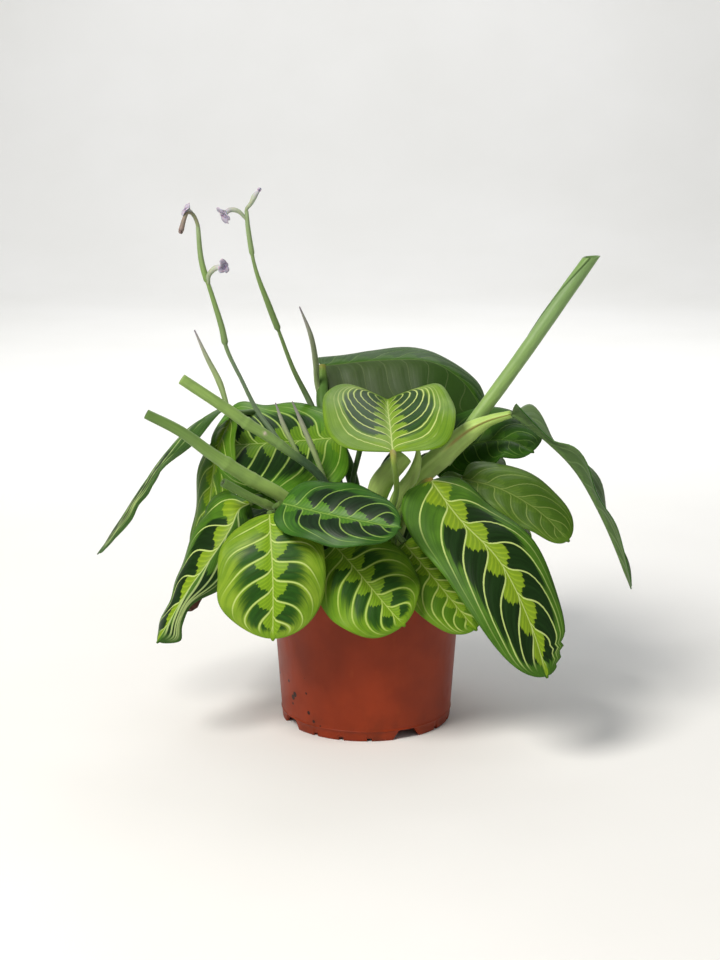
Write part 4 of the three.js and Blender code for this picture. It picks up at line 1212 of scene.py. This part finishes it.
def turned(name, angles, profile_at, finish):
    """A closed lathe shape; its profile starts and ends on the axis."""
    rows = [profile_at(a) for a in angles]
    n, m = len(angles), len(rows[0]) - 2
    points = [(r * math.cos(a), r * math.sin(a), z)
              for a, row in zip(angles, rows) for r, z in row[1:-1]]
    points += [(0, 0, rows[0][0][1]), (0, 0, rows[0][-1][1])]
    faces = []
    for i in range(n):
        k = (i + 1) % n
        faces += [(i * m + j, k * m + j, k * m + j + 1, i * m + j + 1) for j in range(m - 1)]
        faces.append((n * m, k * m, i * m))
        faces.append((n * m + 1, i * m + m - 1, k * m + m - 1))
    mesh = mesh_from(name, points, faces)
    mesh.materials.append(finish)
    return show(name, mesh)


def foot_height(angle):
    """How far the foot ring's lower edge is from the table."""
    height = 0.0
    for centre, low, high, top in CUTS:
        off = (math.degrees(angle) - centre + 180) % 360 - 180
        mm = abs(math.radians(off)) * FOOT_RADIUS
        height = max(height, top * min(1, max(0, (low / 2 - mm) / (low / 2 - high / 2))))
    return height


def rounded(r, z, radius, start, end, steps=4):
    """An arc about (r, z) from one angle to another, as rows of the profile."""
    turn = [math.radians(start + (end - start) * k / steps) for k in range(steps + 1)]
    return [(r + radius * math.cos(t), z + radius * math.sin(t)) for t in turn]


angles = {round(math.radians(a), 6) for a in range(0, 360, 2)}
for centre, low, high, _ in CUTS:
    for mm in (-low / 2, low / 2, -high / 2, high / 2):
        angles.add(round(math.radians(centre % 360) + mm / FOOT_RADIUS, 6) % (2 * math.pi))
angles = sorted(angles)
print("pot:", len(angles), "angles, foot raised at", sum(foot_height(a) > 0.1 for a in angles))


# %% [markdown]
# ### The pot's profile
#
# The profile runs from the middle of the floor's underside out to the foot ring, up the wall,
# over the rim and down the inside. Each pair is a radius and a height in millimetres.

# %% Profile of the pot
def pot_profile(angle):
    low = foot_height(angle)

    def ring(r, z):
        """A point of the foot ring, squeezed upwards above a notch."""
        return r, low + (6.0 - low) * z / 6.0

    row = [(0, 8), (20, 8), (40, 8), (50.6, 8), (51.4, 7.4)]
    row += [ring(51.7, 5), ring(51.8, 2), ring(51.9, 0.3), ring(52.2, 0)]
    row += [ring(wall_radius(0) - 0.4, 0), ring(wall_radius(0) - 0.05, 0.35)]
    row += [ring(wall_radius(2), 2), ring(wall_radius(4), 4), (wall_radius(6), 6.05)]
    row += [(wall_radius(6.5) + 0.3, 6.25), (wall_radius(6.5) + 0.4, 6.5),
            (wall_radius(6.5) + 0.3, 6.75), (wall_radius(7), 7.0)]
    row += [(wall_radius(z), z) for z in (8, 14, 22, 32, 44, 56, 68, 80, 88, 92, 93.6)]
    row += [(NECK + 0.25, 94.2), (NECK + 0.9, 94.6), (RIM - 0.75, 95.0)]
    row += rounded(RIM - 0.6, 95.7, 0.6, -70, 0)
    row += [(RIM - 0.02, 98), (RIM - 0.02, 102)]
    row += rounded(RIM - 0.8, 104.2, 0.8, 0, 90)
    row += rounded(RIM - WALL + 0.5, 104.5, 0.5, 90, 180)
    row += [(RIM - WALL, 103), (RIM - WALL, 98), (RIM - WALL - 0.4, 96.4),
            (wall_radius(94) - WALL, 95.0)]
    row += [(wall_radius(z) - WALL, z) for z in (88, 70, 50, 30, 14, 10.6)]
    row += [(wall_radius(9.6) - WALL - 0.8, 9.75), (45, 9.6), (30, 9.6), (0, 9.6)]
    return row


# %% [markdown]
# ### Moulded plastic
#
# The plastic is coloured through, so the base colour hardly changes: a little paler where the
# surface is rubbed, and a little darker in patches towards the foot. The moulded skin is satin.
# Its fine waviness is what breaks the reflection of the lamps, so the bump is wide and low, and
# small scuffs change only the roughness.

# %% The pot's finish
def pot_finish():
    material, node, fill_skin, place = new_finish("moulded polypropylene, satin, terracotta red")
    x, _, z = node("split xyz", place).outputs
    drawn_up = node("ShaderNodeMapping", {"Vector": place, "Scale": (1, 1, 0.4)})
    wide = node("noise", place, 45.0, 3.0)
    rubs = node("noise", drawn_up, 190.0, 4.0)
    dirt = node("noise", place, 70.0, 5.0)
    # Darker in patches towards the foot.
    darker_low = node("MULTIPLY", node("soft range", dirt, 0.45, 0.75),
                node("range", z, 0.0, 30 * MM, 0.75, 0.0))
    # Specks of peat stick where the pot was held, low on its left front.
    cells = node("ShaderNodeTexVoronoi", {"Vector": place, "Scale": 170.0}).outputs["Distance"]
    held = node("MULTIPLY", node("soft range", x, -20 * MM, -42 * MM),
                node("soft range", z, 52 * MM, 20 * MM))
    size = node("MULTIPLY", held, node("soft range", dirt, 0.37, 0.57, 0, 0.34))
    tone = "#883012"
    for share, colour in ((node("soft range", wide, 0.35, 0.7), "#953615"),
                          (node("soft range", rubs, 0.62, 0.8, 0, 0.22), "#a34c26"),
                          (darker_low, "#6b2a12"),
                          (node("soft range", node("SUBTRACT", size, cells), 0, 0.05), "#2c1a14")):
        tone = node("blend", share, tone, colour)
    waves = node("bump", wide, 0.25, 0.5 * MM)
    grain = node("bump", node("noise", place, 900.0, 2.0), 0.12, 0.1 * MM, waves)
    fill_skin({"Base Color": tone, "Roughness": node("range", rubs, 0.5, 0.8, 0.42, 0.55),
               "Normal": grain, "IOR": 1.48, "Specular IOR Level": 0.22})
    return material


# %% [markdown]
# ### Turn the pot and drill its floor
#
# Eight short rods stand through the floor, and Boolean takes them away from the lathe shape.

# %% The pot
HOLE, HOLE_CIRCLE, HOLE_SIDES = 3.5, 36, 24

pot = turned("nursery_pot", angles, pot_profile, pot_finish())
points, faces = [], []
for k in range(8):
    turn = math.radians(45 * (k + 0.5))
    x, y, low = HOLE_CIRCLE * math.cos(turn), HOLE_CIRCLE * math.sin(turn), len(points)
    high = low + HOLE_SIDES
    steps = [math.radians(a) for a in range(0, 360, 360 // HOLE_SIDES)]
    points += [(x + HOLE * math.cos(a), y + HOLE * math.sin(a), z) for z in (6, 12) for a in steps]
    faces += [range(low, high)[::-1], range(high, high + HOLE_SIDES)]
    faces += [(low + j, low + (j + 1) % HOLE_SIDES, high + (j + 1) % HOLE_SIDES, high + j)
              for j in range(HOLE_SIDES)]
drill = show("drill", mesh_from("drill", points, faces, smooth=False))
holes = pot.modifiers.new("drain holes", "BOOLEAN")
holes.operation = "DIFFERENCE"
holes.object = drill
pot = join_plant(work_in(pot), "pot")
bpy.data.objects.remove(drill)
print("pot:", len(pot.data.polygons), "faces")

# %% [markdown]
# ## Soil
#
# Peat compost is a matt, almost black brown with fibres and a few white grains of perlite. The
# plug is one lathe shape whose top is heaped a little with noise. The loose crumbs on it repeat
# in their thousands, so Geometry Nodes scatters them: one tree, used once for the crumbs and once
# for the perlite, with its own seed, size and count each time.

# %% The soil plug
CLEAR = 0.4  # mm between soil and wall
crumbly = {"scale": 420.0, "detail": 4.0, "relief": 0.6 * MM, "Specular IOR Level": 0.25}
peat = speckled("damp peat, matt and fibrous", dark="#1c120d", light="#3a281d",
                Roughness=0.95, **crumbly)
perlite = speckled("perlite, white and porous", dark="#b9b3a6", light="#e0dcd0",
                   Roughness=0.85, **crumbly)


def plug_profile(angle):
    row = [(0, 9.9), (30, 9.9), (wall_radius(9.9) - WALL - 1.2, 9.9)]
    row += [(wall_radius(z) - WALL - CLEAR, z) for z in (11, 30, 50, 70, 92)]
    for r in np.linspace(wall_radius(94) - WALL - 2 * CLEAR, 2, 30):
        a, b = r * math.cos(angle), r * math.sin(angle)
        height = (math.sin(0.31 * a + 1) * math.sin(0.27 * b) + 0.6 * math.sin(0.7 * a - 0.5 * b)
                  + 0.4 * math.sin(1.3 * b + 0.9 * a))
        row.append((r, 94.3 + 0.5 * height))
    return [*row, (0, 94.6)]


soil = turned("soil_plug", [math.radians(a) for a in range(0, 360, 5)], plug_profile, peat)


# %% [markdown]
# The scatter tree keeps to faces that look up. It turns and sizes each grain at random from a
# fixed seed, and keeps the plug itself in the result, so plug and grains become one mesh.

# %% Scatter crumbs and perlite
LEVEL = 0.6  # how far up a face has to look to hold a grain
FULL_TURN = (6.28, 6.28, 6.28)


def scatter_tree():
    tree, node, dial = new_tree("scattered grains", count="Float", smallest="Float",
                                largest="Float", seed="Int", finish="Material")
    seed = dial["seed"]
    up = node("split xyz", node("GeometryNodeInputNormal")).outputs["Z"]
    spot = node("GeometryNodeDistributePointsOnFaces", {
        "Mesh": dial["Geometry"], "Selection": node("GREATER_THAN", up, LEVEL),
        "Density": dial["count"], "Seed": seed}, distribute_method="RANDOM")
    turn = node("FunctionNodeRandomValue", {"Min": (0, 0, 0), "Max": FULL_TURN, "Seed": seed},
                data_type="FLOAT_VECTOR")
    size = node("FunctionNodeRandomValue", {
        "Min_001": dial["smallest"], "Max_001": dial["largest"], "Seed": seed}, data_type="FLOAT")
    grains = node("GeometryNodeInstanceOnPoints", {
        "Points": spot.outputs["Points"], "Rotation": turn, "Scale": size,
        "Instance": node("GeometryNodeMeshIcoSphere", {"Radius": 1.0, "Subdivisions": 1})})
    painted = node("paint", node("realize", grains), dial["finish"])
    together = node("GeometryNodeJoinGeometry", dial["Geometry"])
    wire(tree, together, {0: painted})
    node("NodeGroupOutput", together)
    return tree


scatter = scatter_tree()
for settings in (dict(count=130000.0, smallest=0.5 * MM, seed=3, finish=peat),
                 dict(count=90.0, smallest=0.8 * MM, seed=8, finish=perlite)):
    use_tree(soil, scatter, largest=1.5 * MM, **settings)
    soil = work_in(soil)
    print("soil with", settings["finish"].name, "has", len(soil.data.polygons), "faces")
join_plant(soil, "soil")

# %% [markdown]
# ## Counting the faces
#
# Last we count the faces of every mesh. The pieces stand for the solids one by one.

# %% Totals
total = sum(len(o.data.polygons) for o in bpy.context.scene.objects if o.type == "MESH")
print("faces in all:", total)
